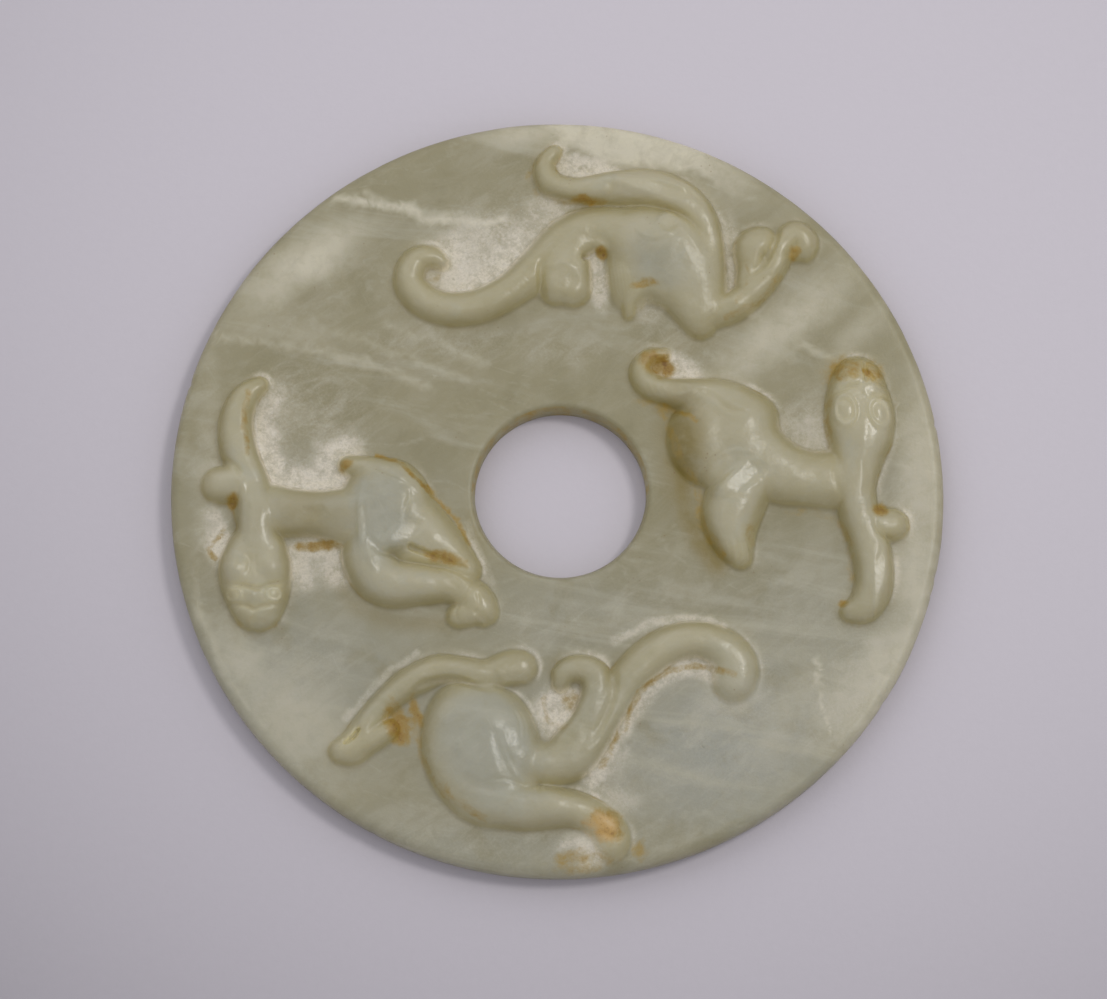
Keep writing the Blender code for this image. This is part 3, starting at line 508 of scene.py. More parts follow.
def carve_top_dragon(carving):
    """Hind half above the hole: its forked tail runs to the left."""
    limb, line, swell = carving.limb, carving.line, carving.swell
    trunk = ((24, 67, 12, 0.8), (31.4, 61.4, 12, 0.84), (36, 52, 8.8, 0.76), (37.2, 45, 5, 0.54))
    limb(trunk)
    carving.mound((30.6, 62.4), (13.4, 14), 0.78, blend=MELTED, power=BLUFF)
    carving.mound((20.4, 60), (8.2, 13), 0.56, turn=-6, blend=MELTED)
    swell((27, 65), (14, 13), 0.14)
    long_tail = ((22, 67.5, 8.6, 0.72), (12, 70.6, 6.2, 0.6), (3.4, 68.2, 6.6, 0.56),
                 (-4.2, 60.6, 6.3, 0.54), (-12, 53.9, 5.2, 0.56), (-20, 49.7, 5.0, 0.6),
                 (-28, 48.7, 4.9, 0.62), (-35, 51.2, 4.8, 0.62), (-38.6, 56.2, 4.5, 0.6),
                 (-37, 61.4, 4.1, 0.56), (-32.8, 62.7, 3.4, 0.48), (-29.8, 61, 2.3, 0.36))
    limb(long_tail)
    short_tail = ((12.6, 66, 2.6, 0.44), (8.6, 67, 3.4, 0.5), (4, 65, 4.6, 0.58),
                  (0.8, 60, 5.8, 0.64), (-0.2, 54.6, 5.6, 0.58))
    limb(short_tail, blend=FIRM, power=FLAT_TOPPED)
    blunt_end = ((3.6, 61, 5.4, 0.64), (3.8, 54.4, 5.8, 0.58))
    limb(blunt_end, blend=SOFT, power=FLAT_TOPPED)
    channel = ((7.4, 62.4), (9.8, 61.8), (11.6, 58.6), (11.9, 54.8), (11.2, 50.6), (9.6, 45.4))
    carving.trench(channel, 1.6, 0.06)
    line(((-3.6, 63), (-4.3, 56), (-2.8, 49)), 1.5, 0.12)
    line(((-3, 58.4), (1.4, 60.2), (6, 57.6)), 1.6, -0.06)
    upper_leg = ((40.8, 52, 3.0, 0.4), (41, 59, 3.0, 0.5), (40, 66.5, 3.6, 0.62),
                 (37.2, 73.2, 4.6, 0.74), (32, 78.4, 5.4, 0.78), (24, 81.2, 5.6, 0.78),
                 (14, 81.4, 4.8, 0.7), (5, 80.8, 3.7, 0.6), (-1.6, 82.6, 3.7, 0.54),
                 (-3.3, 87.6, 3.0, 0.48), (-0.6, 91.2, 2.2, 0.38))
    limb(upper_leg, blend=SOFT, power=FLAT_TOPPED)
    line(((39.8, 62), (37.4, 68), (32.4, 73.4), (25, 75.8), (14, 76.4)), 1.8, 0.08)
    line(((14, 85), (14.2, 81), (13.6, 77)), 1.4, 0.07)
    line(((32.4, 71.4), (35, 66), (37, 60.4)), 1.8, -0.05)
    line(((19.6, 71), (23.6, 66.8), (28.4, 67.2), (31.4, 70.6)), 1.4, -0.05)
    lower_paw = ((18.6, 47.4, 2.0, 0.26), (19.4, 51.6, 2.6, 0.4), (23.4, 54.4, 2.8, 0.5),
                 (28, 53, 3.2, 0.58))
    limb(lower_paw, blend=SOFT)
    carving.pit((23.6, 48.4), (3.2, 4.0), 0.03, turn=-30)
    stem = ((37, 47.5, 5.4, 0.56), (45.4, 49.2, 4.6, 0.54), (52, 54.6, 4.3, 0.56),
            (56.4, 60, 3.9, 0.58), (58.8, 65.6, 3.8, 0.58), (62, 68.6, 4.2, 0.58),
            (64.8, 66.6, 3.8, 0.52), (64.6, 64, 3.2, 0.44))
    limb(stem, blend=SOFT)
    carving.mound((62.2, 66), (4.6, 4.8), 0.48, blend=SOFT, power=FLAT_TOPPED)
    side_curl = ((48.8, 54.8, 2.8, 0.38), (50.2, 60, 3.8, 0.46), (50.6, 65, 5.0, 0.56),
                 (53.2, 66.6, 4.8, 0.54))
    limb(side_curl, blend=SOFT, power=FLAT_TOPPED)
    line(((57.8, 71.4), (57.4, 67.4), (55.4, 62.4), (52.4, 57.4)), 1.2, 0.13)
    line(((58.6, 62), (61.4, 64.4), (62.6, 67)), 1.1, 0.1)
    carving.pit((61.4, 63.2), (1.6, 1.8), 0.34)


def carve_bottom_dragon(carving):
    """Hind half below the hole: its forked tail runs to the right."""
    limb, line, swell = carving.limb, carving.line, carving.swell
    carving.mound((-19, -68), (15.6, 20.4), 0.84, turn=18, power=BLUFF)
    swell((-16.6, -63.6), (14, 15), 0.16, turn=18)
    thigh = ((-18, -79, 8.6, 0.76), (-8, -82, 6.8, 0.82), (3, -82.6, 5.2, 0.72),
             (9.6, -85, 4.8, 0.58), (13.4, -88.8, 5.2, 0.48), (13.8, -91.8, 5.2, 0.42))
    limb(thigh, blend=SOFT)
    line(((-28, -73), (-20, -77.4), (-12, -78.6), (-4, -79.4)), 2.2, 0.05)
    line(((-16, -61), (-14.6, -68), (-11.6, -75), (-6, -79)), 2.2, 0.06)
    line(((8.6, -91), (11.6, -89.4), (15, -90.4), (19, -89)), 1.5, 0.07)
    carving.pit((11.2, -94.6), (1.2, 1.5), 0.12)
    upper_leg = ((-9.4, -46.2, 5.2, 0.36), (-12.6, -46.6, 5.2, 0.42), (-18, -48.2, 4.4, 0.48),
                 (-25, -47.2, 4.2, 0.56), (-31, -47, 4.3, 0.6), (-38.4, -50.6, 4.2, 0.58),
                 (-44.6, -55.8, 3.6, 0.56), (-48.8, -61, 3.7, 0.52), (-51.4, -66.6, 5.0, 0.52),
                 (-55.0, -67.8, 3.8, 0.44))
    limb(upper_leg, blend=FIRM)
    toe = ((-49, -66, 3.8, 0.5), (-43, -62.4, 3.2, 0.46))
    limb(toe, blend=SOFT)
    carving.trench(((-50.6, -62.6), (-52.0, -64.6), (-54.0, -66.0)), 0.9, 0.22)
    frosted_groove = ((-39, -56.6), (-35.4, -51.4), (-30, -49.8), (-25, -49.8),
                      (-20.6, -51.4), (-15, -53))
    line(frosted_groove, 1.5, 0.16)
    line(((-5, -53), (-9.4, -51.6), (-14, -51.2), (-17.6, -47)), 1.8, 0.09)
    long_tail = ((-10, -70, 6, 0.66), (-2, -71, 6.2, 0.62), (5, -69, 6, 0.58),
                 (10.4, -61.8, 5.2, 0.56), (15.2, -53.2, 5.3, 0.6), (22, -44.9, 5.4, 0.62),
                 (30, -39.8, 5.3, 0.62), (37.4, -39, 5.2, 0.62), (43, -41.8, 5.8, 0.6),
                 (45.6, -46, 6.3, 0.58), (45.2, -49.6, 6.3, 0.54))
    limb(long_tail)
    short_tail = ((2, -67.4, 5, 0.54), (7.2, -60, 4.2, 0.6), (9.8, -53.6, 4.3, 0.64),
                  (9.5, -48.4, 4.4, 0.64), (5.4, -46.4, 3.8, 0.58), (1.8, -47.8, 3.4, 0.52),
                  (0.8, -50.6, 2.5, 0.4))
    limb(short_tail, blend=SOFT, power=FLAT_TOPPED)
    line(((14.6, -44), (14.4, -53), (11.8, -60), (8, -67)), 1.8, 0.14)
    line(((-5.6, -60), (-4.4, -66), (-7, -74), (-4, -78)), 2.6, 0.07)


def carved(u, v):
    """The carving with all four dragons, at places given in carving units."""
    carving = Carving(u, v)
    carve_right_dragon(carving)
    carve_left_dragon(carving)
    carve_top_dragon(carving)
    carve_bottom_dragon(carving)
    return carving


def over_plate(carving):
    """The carving's height with a fillet at its foot, as a share of RELIEF_HEIGHT."""
    return smooth_larger(carving.height, np.zeros(carving.u.shape), FOOT_FILLET)


def blend_corners(table, column, row, s, t):
    """Blends the four corners of each place's cell in a table that repeats."""
    far, high = (column + 1) % table.shape[1], (row + 1) % table.shape[0]
    lower = table[row, column] * (1 - s) + table[row, far] * s
    upper = table[high, column] * (1 - s) + table[high, far] * s
    return lower * (1 - t) + upper * t


def lattice_noise(u, v, size, seed, smooth=True):
    """Noise from -1 to 1 whose bumps, or nearly flat cells, are about size units apart."""
    table = np.random.default_rng(seed).uniform(-1.0, 1.0, (NOISE_CELLS, NOISE_CELLS))
    a, b = u / size, v / size
    column, row = np.floor(a).astype(int), np.floor(b).astype(int)
    s, t = a - column, b - row
    if smooth:
        s, t = s * s * s * (s * (6 * s - 15) + 10), t * t * t * (t * (6 * t - 15) + 10)
    return blend_corners(table, column % NOISE_CELLS, row % NOISE_CELLS, s, t)


def layered_noise(u, v, size, seed, layers=4, fade=0.5):
    """Noise with finer and fainter layers added."""
    total, weight, norm = np.zeros(u.shape), 1.0, 0.0
    for layer in range(layers):
        cos, sin = math.cos(layer * 0.9 + 0.4), math.sin(layer * 0.9 + 0.4)
        across, along = u * cos - v * sin, u * sin + v * cos
        total += weight * lattice_noise(across, along, size / 2 ** layer, seed + layer)
        norm += weight
        weight *= fade
    return total / norm


def facets(u, v, size, seed):
    """Uneven noise whose cells are nearly flat, like the strokes of a carver's wheel."""
    return lattice_noise(0.82 * u - 0.57 * v, 0.57 * u + 0.82 * v, size, seed, smooth=False)


def unit(values):
    """The values, kept between 0 and 1."""
    return np.clip(values, 0.0, 1.0)


def eased(values):
    """The values, kept between 0 and 1 and eased at both ends."""
    share = unit(values)
    return share * share * (3 - 2 * share)


def stroke(u, v, points, half_width, edge=0.6):
    """Share from 0 to 1 of a soft brush stroke along a curve."""
    curve = smooth_curve(points, STROKE_STEPS)
    distance = np.full(u.shape, math.inf)
    for start, end in zip(curve[:-1], curve[1:]):
        distance = np.minimum(distance, along_segment(u, v, start, end)[0])
    return eased((half_width * (1 + edge) - distance) / (half_width * 2 * edge))


def spot(u, v, centre, radii, turn=0, edge=0.6):
    """Share from 0 to 1 of a soft oval spot."""
    return eased((1 + edge - oval_distance(u, v, centre, radii, turn)) / (2 * edge))


def painted(u, v, spots, strokes=(), edge=0.6, stroke_edge=0.6):
    """Share from 0 to 1 of the strongest of the soft spots and strokes at each place."""
    share = np.zeros(u.shape)
    for across, up, first_radius, second_radius, turn, strength in spots:
        place = spot(u, v, (across, up), (first_radius, second_radius), turn, edge)
        share = np.maximum(share, strength * place)
    for points, half_width, strength in strokes:
        share = np.maximum(share, strength * stroke(u, v, points, half_width, stroke_edge))
    return share


def frosted_ground(u, v):
    """Where the tool-marked ground is left white and granular, up to the relief's contour."""
    left_pocket = spot(u, v, (-65.6, 10), (15.4, 20), turn=8, edge=0.35)
    return np.maximum(left_pocket, painted(u, v, FROST_SPOTS, FROST_STROKES, edge=0.45))


def cream_band(u, v):
    """The cream vein along the upper rim, crisp towards the middle."""
    across = unit((v - np.interp(u, *CREAM_BORDER)) / 1.8)
    return across * unit((u + 9) / 9) * unit((56 - u) / 22)


def milky_cloud(u, v):
    """Where the stone itself is pale and cloudy."""
    clouds = painted(u, v, CLOUD_SPOTS, CLOUD_STROKES, edge=0.9, stroke_edge=0.9)
    return np.maximum(0.92 * cream_band(u, v), clouds)


def dusty_film(u, v):
    """Where the ground's fine tool marks show as a thin white film."""
    left_pocket = 0.7 * spot(u, v, (-66, 20), (16, 14), edge=0.8)
    return np.maximum(left_pocket, painted(u, v, FILM_SPOTS, edge=0.9))


def cool_stone(u, v):
    """Where the stone leans from olive to blue-grey."""
    left_haunch = 0.75 * spot(u, v, (-45, -8), (10, 15), edge=0.8)
    return np.maximum(left_haunch, painted(u, v, COOL_SPOTS, edge=0.95))


def fine_carving(u, v):
    """The carving with its finest cuts, and the surface's unevenness, in shares of the relief."""
    carving = carved(u, v)
    flat = cut_fine_lines(carving)
    rise = over_plate(carving)
    ground = unit(1 - 4 * rise)
    raised = unit(3 * rise - 0.6)
    frost = frosted_ground(u, v)
    bend_u = u + 2.2 * layered_noise(u, v, 11.0, 91, layers=2)
    bend_v = v + 2.2 * layered_noise(u, v, 11.0, 97, layers=2)
    waves = WAVE_RISE * layered_noise(u, v, 9.0, 11, layers=3)
    strokes = BROAD_STROKE_RISE * facets(bend_u, bend_v, 6.0, 41)
    strokes = raised * (1 - flat) * (strokes + NARROW_STROKE_RISE * facets(bend_u, bend_v, 2.6, 43))
    polish = POLISH_RISE * layered_noise(u, v, 2.6, 23, layers=2)
    grains = GRAIN_RISE * frost * ground * layered_noise(u, v, 1.5, 37, layers=2)
    hollow = -FROST_SINK * frost * ground
    return rise + waves + strokes + polish + grains + hollow


def plane_facet(carving, centre, radii, turn, firmness):
    """Turns a small oval place towards a flat that leans to the right, to the light."""
    share = carving.oval(centre, radii, turn)
    slant = FLAT_LEAN * (carving.u - centre[0])
    level = (carving.height + slant)[share < 0.8].mean()
    weight = firmness * eased((1.5 - share) / 0.9)
    carving.height += weight * (level - slant - carving.height)
    return weight


def cut_fine_lines(carving):
    """Hair lines, toes, folds and polished flats that the eye finds close up. Returns the flats."""
    line = carving.line
    for step in range(7):
        lean = 0.9 * step
        line(((12.6 + lean, 66 - lean), (13.4 + lean, 58), (14.6 + lean, 49)), 0.55, 0.022)
    for count, pitch, drop, points, half_width, depth in HAIR_LINES:
        for step in range(count):
            shift = pitch * step
            line([(u + shift, v - drop * shift) for u, v in points], half_width, depth)
    for points, half_width, depth in FINE_LINES:
        line(points, half_width, depth)
    flat = np.zeros(carving.u.shape)
    for across, up, first_radius, second_radius, turn, firmness in FLATS:
        place = plane_facet(carving, (across, up), (first_radius, second_radius), turn, firmness)
        flat = np.maximum(flat, place)
    return flat


def disc_section(rim, rows):
    """Closed half section of the plain disc: hole wall, carved face, outer edge, underside."""
    bore_front = HOLE_DIAMETER / 2
    bore_back = bore_front - HOLE_NARROWING
    top = PLATE_THICKNESS
    small, large = HOLE_EDGE_ROUNDING, OUTER_EDGE_ROUNDING
    points = arc((bore_back + small, small), small, 270, 180)
    for step in range(1, WALL_STEPS):
        points.append((bore_back, small + (top - 2 * small) * step / WALL_STEPS))
    points += arc((bore_front + small, top - small), small, 180, 90)
    face_start, face_end = bore_front + small, rim - large
    for row in range(1, rows):
        points.append((face_start + (face_end - face_start) * row / rows, top))
    points += arc((rim - large, top - large), large, 90, 0)
    points += arc((rim - large, large), large, 0, -90)
    for row in range(1, BACK_ROWS):
        points.append((rim - large - (rim - large - bore_back - small) * row / BACK_ROWS, 0.0))
    return points


def arc(centre, radius, start, end):
    """Points of a quarter round in the section, with angles in degrees."""
    points = []
    for step in range(EDGE_STEPS + 1):
        angle = math.radians(start + (end - start) * step / EDGE_STEPS)
        points.append((centre[0] + radius * math.cos(angle), centre[1] + radius * math.sin(angle)))
    return points


def turned_places(section):
    """Places of the section's points turned around the Z axis, and the quads between them."""
    section = np.array(section)
    angles = np.arange(TURN_STEPS) * 2 * math.pi / TURN_STEPS
    radius, height = section[:, 0], section[:, 1]
    x = np.cos(angles)[:, None] * radius[None, :]
    y = np.sin(angles)[:, None] * radius[None, :]
    z = np.broadcast_to(height[None, :], x.shape)
    places = np.stack([x, y, z], axis=2).reshape(-1, 3)
    count = len(section)
    turn, point = np.meshgrid(np.arange(TURN_STEPS), np.arange(count), indexing="ij")
    ahead, along = (turn + 1) % TURN_STEPS, (point + 1) % count
    quads = np.stack([turn * count + point, ahead * count + point,
                      ahead * count + along, turn * count + along], axis=2)
    return places, quads.reshape(-1, 4)


def mesh_from(name, places, faces):
    """Mesh with these vertices and quads."""
    mesh = bpy.data.meshes.new(name)
    mesh.vertices.add(len(places))
    mesh.vertices.foreach_set("co", places.astype(np.float32).ravel())
    mesh.loops.add(faces.size)
    mesh.loops.foreach_set("vertex_index", faces.astype(np.int32).ravel())
    mesh.polygons.add(len(faces))
    mesh.polygons.foreach_set("loop_start", np.arange(0, faces.size, 4, dtype=np.int32))
    mesh.update(calc_edges=True)
    mesh.validate()
    return mesh


def raise_carving(places):
    """Moves the hole off the axis and raises the carving, inside the solid's box."""
    bore = HOLE_DIAMETER / 2 - HOLE_NARROWING
    radius = np.hypot(places[:, 0], places[:, 1])
    places[:, 0] += HOLE_OFFSET * (VISUAL_RIM - radius) / (VISUAL_RIM - bore)
    upper = places[:, 2] > PLATE_THICKNESS - SAME_PLACE
    u, v = places[upper, 0] / CARVING_UNIT, places[upper, 1] / CARVING_UNIT
    rise = fine_carving(u, v)
    outer = unit((VISUAL_RIM - OUTER_EDGE_ROUNDING - radius[upper]) / EDGE_FADE)
    inner = unit((radius[upper] - HOLE_DIAMETER / 2 - HOLE_EDGE_ROUNDING) / EDGE_FADE)
    uneven = np.minimum(rise, UNEVENNESS)
    rise = np.where(rise > UNEVENNESS, rise, uneven * outer * inner)
    limit = cad_high.z - PLATE_THICKNESS - TOP_CLEARANCE
    places[upper, 2] += rise * min(RELIEF_HEIGHT, limit / rise.max())
    return places


def wear_edge(places):
    """Small unevenness of the rim and of the underside, always inward, and the rim's nicks."""
    x, y, z = places.T
    radius = np.hypot(x, y)
    turn = np.arctan2(y, x) * 100
    outer = unit((radius - VISUAL_RIM + OUTER_EDGE_ROUNDING) / OUTER_EDGE_ROUNDING)
    wear = 0.5 + 0.5 * layered_noise(turn, z * 4e4, 12.0, 53, layers=4, fade=0.7)
    bearing = np.degrees(np.arctan2(y, x))
    nicks = sum(np.exp(-((bearing - at) / width) ** 2) for at, width in RIM_NICKS)
    wear = wear + NICK_DEPTH * nicks * unit(z / PLATE_THICKNESS)
    factor = 1 - outer * EDGE_WEAR * wear / VISUAL_RIM
    bend = layered_noise(x / CARVING_UNIT, y / CARVING_UNIT, 14.0, 61, layers=3)
    under = (z < UNDERSIDE_TOP) & (outer < 0.01)
    places[:, 0] *= factor
    places[:, 1] *= factor
    places[:, 2] = np.where(under, z + UNDERSIDE_WAVE * (1 + bend), z)
    return places


def vertex_places(mesh):
    """The mesh's vertices as an array."""
    flat = np.empty(len(mesh.vertices) * 3, dtype=np.float32)
    mesh.vertices.foreach_get("co", flat)
    return flat.reshape(-1, 3).astype(float)


class ContourGap:
    """Signed distance to the relief's contour, in carving units: above zero on the ground."""

    def __init__(self):
        ticks = np.arange(-100.0, 100.0 + GAP_STEP / 2, GAP_STEP)
        u, v = np.meshgrid(ticks, ticks)
        rise = RELIEF_HEIGHT * over_plate(carved(u.ravel(), v.ravel()))
        raised = rise.reshape(u.shape) > CONTOUR_SHARE * RELIEF_HEIGHT
        self.gap = self.spread(raised) - self.spread(~raised)

    def spread(self, sources):
        """Distance to the nearest source, by passing it on from neighbour to neighbour."""
        away = np.where(sources, 0.0, OUT_OF_REACH)
        for _ in range(GAP_ROUNDS):
            for down, right in ((0, 1), (1, 0), (1, 1), (1, -1)):
                cost = GAP_STEP * math.hypot(down, right)
                away = np.minimum(away, np.roll(away, (down, right), (0, 1)) + cost)
                away = np.minimum(away, np.roll(away, (-down, -right), (0, 1)) + cost)
        return away

    def at(self, u, v):
        """The distance at each place."""
        a = np.clip((u + 100) / GAP_STEP, 0, self.gap.shape[1] - 1.001)
        b = np.clip((v + 100) / GAP_STEP, 0, self.gap.shape[0] - 1.001)
        column, row = a.astype(int), b.astype(int)
        return blend_corners(self.gap, column, row, a - column, b - row)

    def lit(self, u, v):
        """How far the ground beside the contour faces the light, from 0 to 1."""
        step = 0.8
        right = (self.at(u + step, v) - self.at(u - step, v)) / (2 * step)
        up = (self.at(u, v + step) - self.at(u, v - step)) / (2 * step)
        return unit(0.5 + 0.5 * (0.72 * right + 0.70 * up))


def mark_surface(mesh):
    """Keeps with each vertex how frosted, stained, cloudy, dusty, cool, sunk, shaded and raised it
    is.
    """
    # Painted light: the frost holds highlight lines on the contour's lit side, and the contour
    # shade is painted shade.
    x, y, z = vertex_places(mesh).T
    u, v = x / CARVING_UNIT, y / CARVING_UNIT
    face = unit((z - FACE_START) / FACE_FADE)
    rise = unit((z - PLATE_THICKNESS) / RELIEF_HEIGHT)
    foot = unit(1.7 - 4 * rise)
    # How far each place lies below its surroundings: the material darkens these creases, partly as
    # earth and partly as painted shade.
    plain = over_plate(carved(u, v))
    around = np.zeros(u.shape)
    for step in range(8):
        angle = step * math.pi / 4
        ring = carved(u + RING_RADIUS * math.cos(angle), v + RING_RADIUS * math.sin(angle))
        around += over_plate(ring) / 8
    sway_u = 1.3 * layered_noise(u, v, 5.0, 71, layers=4, fade=0.65)
    sway_v = 1.3 * layered_noise(u, v, 5.0, 79, layers=4, fade=0.65)
    wobble = layered_noise(u, v, 3.0, 83, layers=3, fade=0.6)
    patchy = unit(0.55 + 1.1 * layered_noise(u, v, 13.0, 101, layers=3))
    contour = ContourGap()
    gap, lit = contour.at(u, v), contour.lit(u, v)

    def swayed(paint, share):
        """A painted share with ragged edges."""
        return paint(u + share * sway_u, v + share * sway_v)

    frost = swayed(frosted_ground, 0.7) * foot
    # Painted shade beside the contour, strongest on the side away from the light and kept off the
    # frost.
    outside = np.exp(-np.clip(gap, 0.0, None) / 1.1)
    outside *= (1 - 0.95 * unit(2.2 * frost)) * (1.1 - 0.9 * lit)
    inside = np.exp(np.clip(gap, None, 0.0) / 1.3)
    # Painted highlight: a pale line on the ground along the contour's lit side, added to the frost.
    highlight_line = np.exp(-((gap - 0.9) / 0.9) ** 2) * foot
    frost = np.maximum(frost, 0.8 * highlight_line * unit(2 * lit - 0.8) * patchy)
    deep = 0.12 + 0.58 * spot(u, v, (-17, 65), (17, 12), turn=30)
    rim_light = deep + (1 - deep) * np.exp(-np.clip(gap - 4.2 - 1.5 * wobble, 0.0, None) / 3.0)

    line = np.exp(-((gap + 0.15 + 0.35 * wobble) / (0.55 + 0.2 * wobble)) ** 2)
    stain = swayed(lambda a, b: painted(a, b, STAIN_SPOTS, STAIN_STROKES), 0.8)
    stain = np.maximum(stain, 0.42 * line * patchy) * face
    bore = np.hypot(x - HOLE_OFFSET, y) < HOLE_DIAMETER / 2 + 0.0001
    # The contour's painted olive shade, with painted shade spots and strokes.
    contour_shade = outside * inside * (0.10 + 0.24 * patchy)
    contour_shade = np.maximum(contour_shade, painted(u, v, SHADE_SPOTS, SHADE_STROKES, edge=0.9, stroke_edge=0.9))

    for name, share in (
            ("frost", 0.55 * frost * face * rim_light),
            ("stain", np.where(bore, 0.38 + 0.14 * np.sign(y) + 0.2 * wobble, stain)),
            ("contour_shade", contour_shade * face),
            ("cloud", swayed(milky_cloud, 1.6)),
            ("film", swayed(dusty_film, 3) * unit(1 - 4 * rise)),
            ("cool", swayed(cool_stone, 2)),
            ("sunk", 0.5 + 2.6 * (around - plain) * face),
            ("rise", rise)):
        layer = mesh.attributes.new(name, "FLOAT", "POINT")
        layer.data.foreach_set("value", unit(share).astype(np.float32))


class Shader:
    """Small helper that adds and joins the nodes of one material."""

    def __init__(self, name):
        self.material = bpy.data.materials.new(name)
        self.material.use_nodes = True
        self.tree = self.material.node_tree
        self.principled = self.tree.nodes["Principled BSDF"]
        self.place = self.node("ShaderNodeTexCoord").outputs["Object"]
        self.colour = None

    def node(self, kind, **values):
        made = self.tree.nodes.new(kind)
        for key, value in values.items():
            setattr(made, key, value)
        return made

    def join(self, source, target):
        """Joins an output to an input, or sets the input to a plain value."""
        if isinstance(source, bpy.types.NodeSocket):
            self.tree.links.new(source, target)
        else:
            target.default_value = source

    def set(self, made, **values):
        """Joins or sets a node's inputs, named with _ for a space, and returns its first output."""
        for name, value in values.items():
            self.join(value, made.inputs[name.replace("_", " ")])
        return made.outputs[0]

    def share(self, name):
        return self.node("ShaderNodeAttribute", attribute_name=name).outputs["Fac"]

    def noise(self, scale, detail=4.0, roughness=0.55, distortion=0.0, place=None):
        made = self.node("ShaderNodeTexNoise")
        return self.set(made, Vector=place or self.place, Scale=scale, Detail=detail,
                        Roughness=roughness, Distortion=distortion)

    def streaks(self, stretch, turn, scale, *kind):
        """Noise drawn out by a stretch along X and Y, and turned about Z."""
        made = self.node("ShaderNodeMapping", vector_type="TEXTURE")
        place = self.set(made, Vector=self.place, Rotation=(0.0, 0.0, math.radians(turn)),
                         Scale=(1 / stretch[0], 1 / stretch[1], 1.0))
        return self.noise(scale, *kind, place=place)

    def cells(self, scale):
        return self.set(self.node("ShaderNodeTexVoronoi"), Vector=self.place, Scale=scale)

    def math(self, operation, first, second=0.0, clamp=False):
        made = self.node("ShaderNodeMath", operation=operation, use_clamp=clamp)
        self.join(first, made.inputs[0])
        self.join(second, made.inputs[1])
        return made.outputs[0]

    def times(self, first, *others):
        """Product of outputs and plain numbers."""
        for other in others:
            first = self.math("MULTIPLY", first, other)
        return first

    def plus(self, first, second, clamp=False):
        return self.math("ADD", first, second, clamp)

    def span(self, value, low, high, to_low=0.0, to_high=1.0):
        """Spreads a value between low and high over another range."""
        made = self.node("ShaderNodeMapRange", interpolation_type="SMOOTHSTEP")
        return self.set(made, Value=value, From_Min=low, From_Max=high,
                        To_Min=to_low, To_Max=to_high)

    def mix(self, share, first, second):
        made = self.node("ShaderNodeMix", data_type="RGBA")
        self.join(share, made.inputs["Factor"])
        colours = [socket for socket in made.inputs if socket.type == "RGBA"]
        self.join(first, colours[0])
        self.join(second, colours[1])
        return [socket for socket in made.outputs if socket.type == "RGBA"][0]

    def coat(self, colour, *shares):
        """Lays a colour over the surface, as strongly as the product of the shares."""
        self.colour = self.mix(self.times(*shares), self.colour, colour)

    def bump(self, height, distance, strength, before=None):
        made = self.node("ShaderNodeBump")
        if before is not None:
            self.join(before, made.inputs["Normal"])
        return self.set(made, Strength=strength, Distance=distance, Height=height)


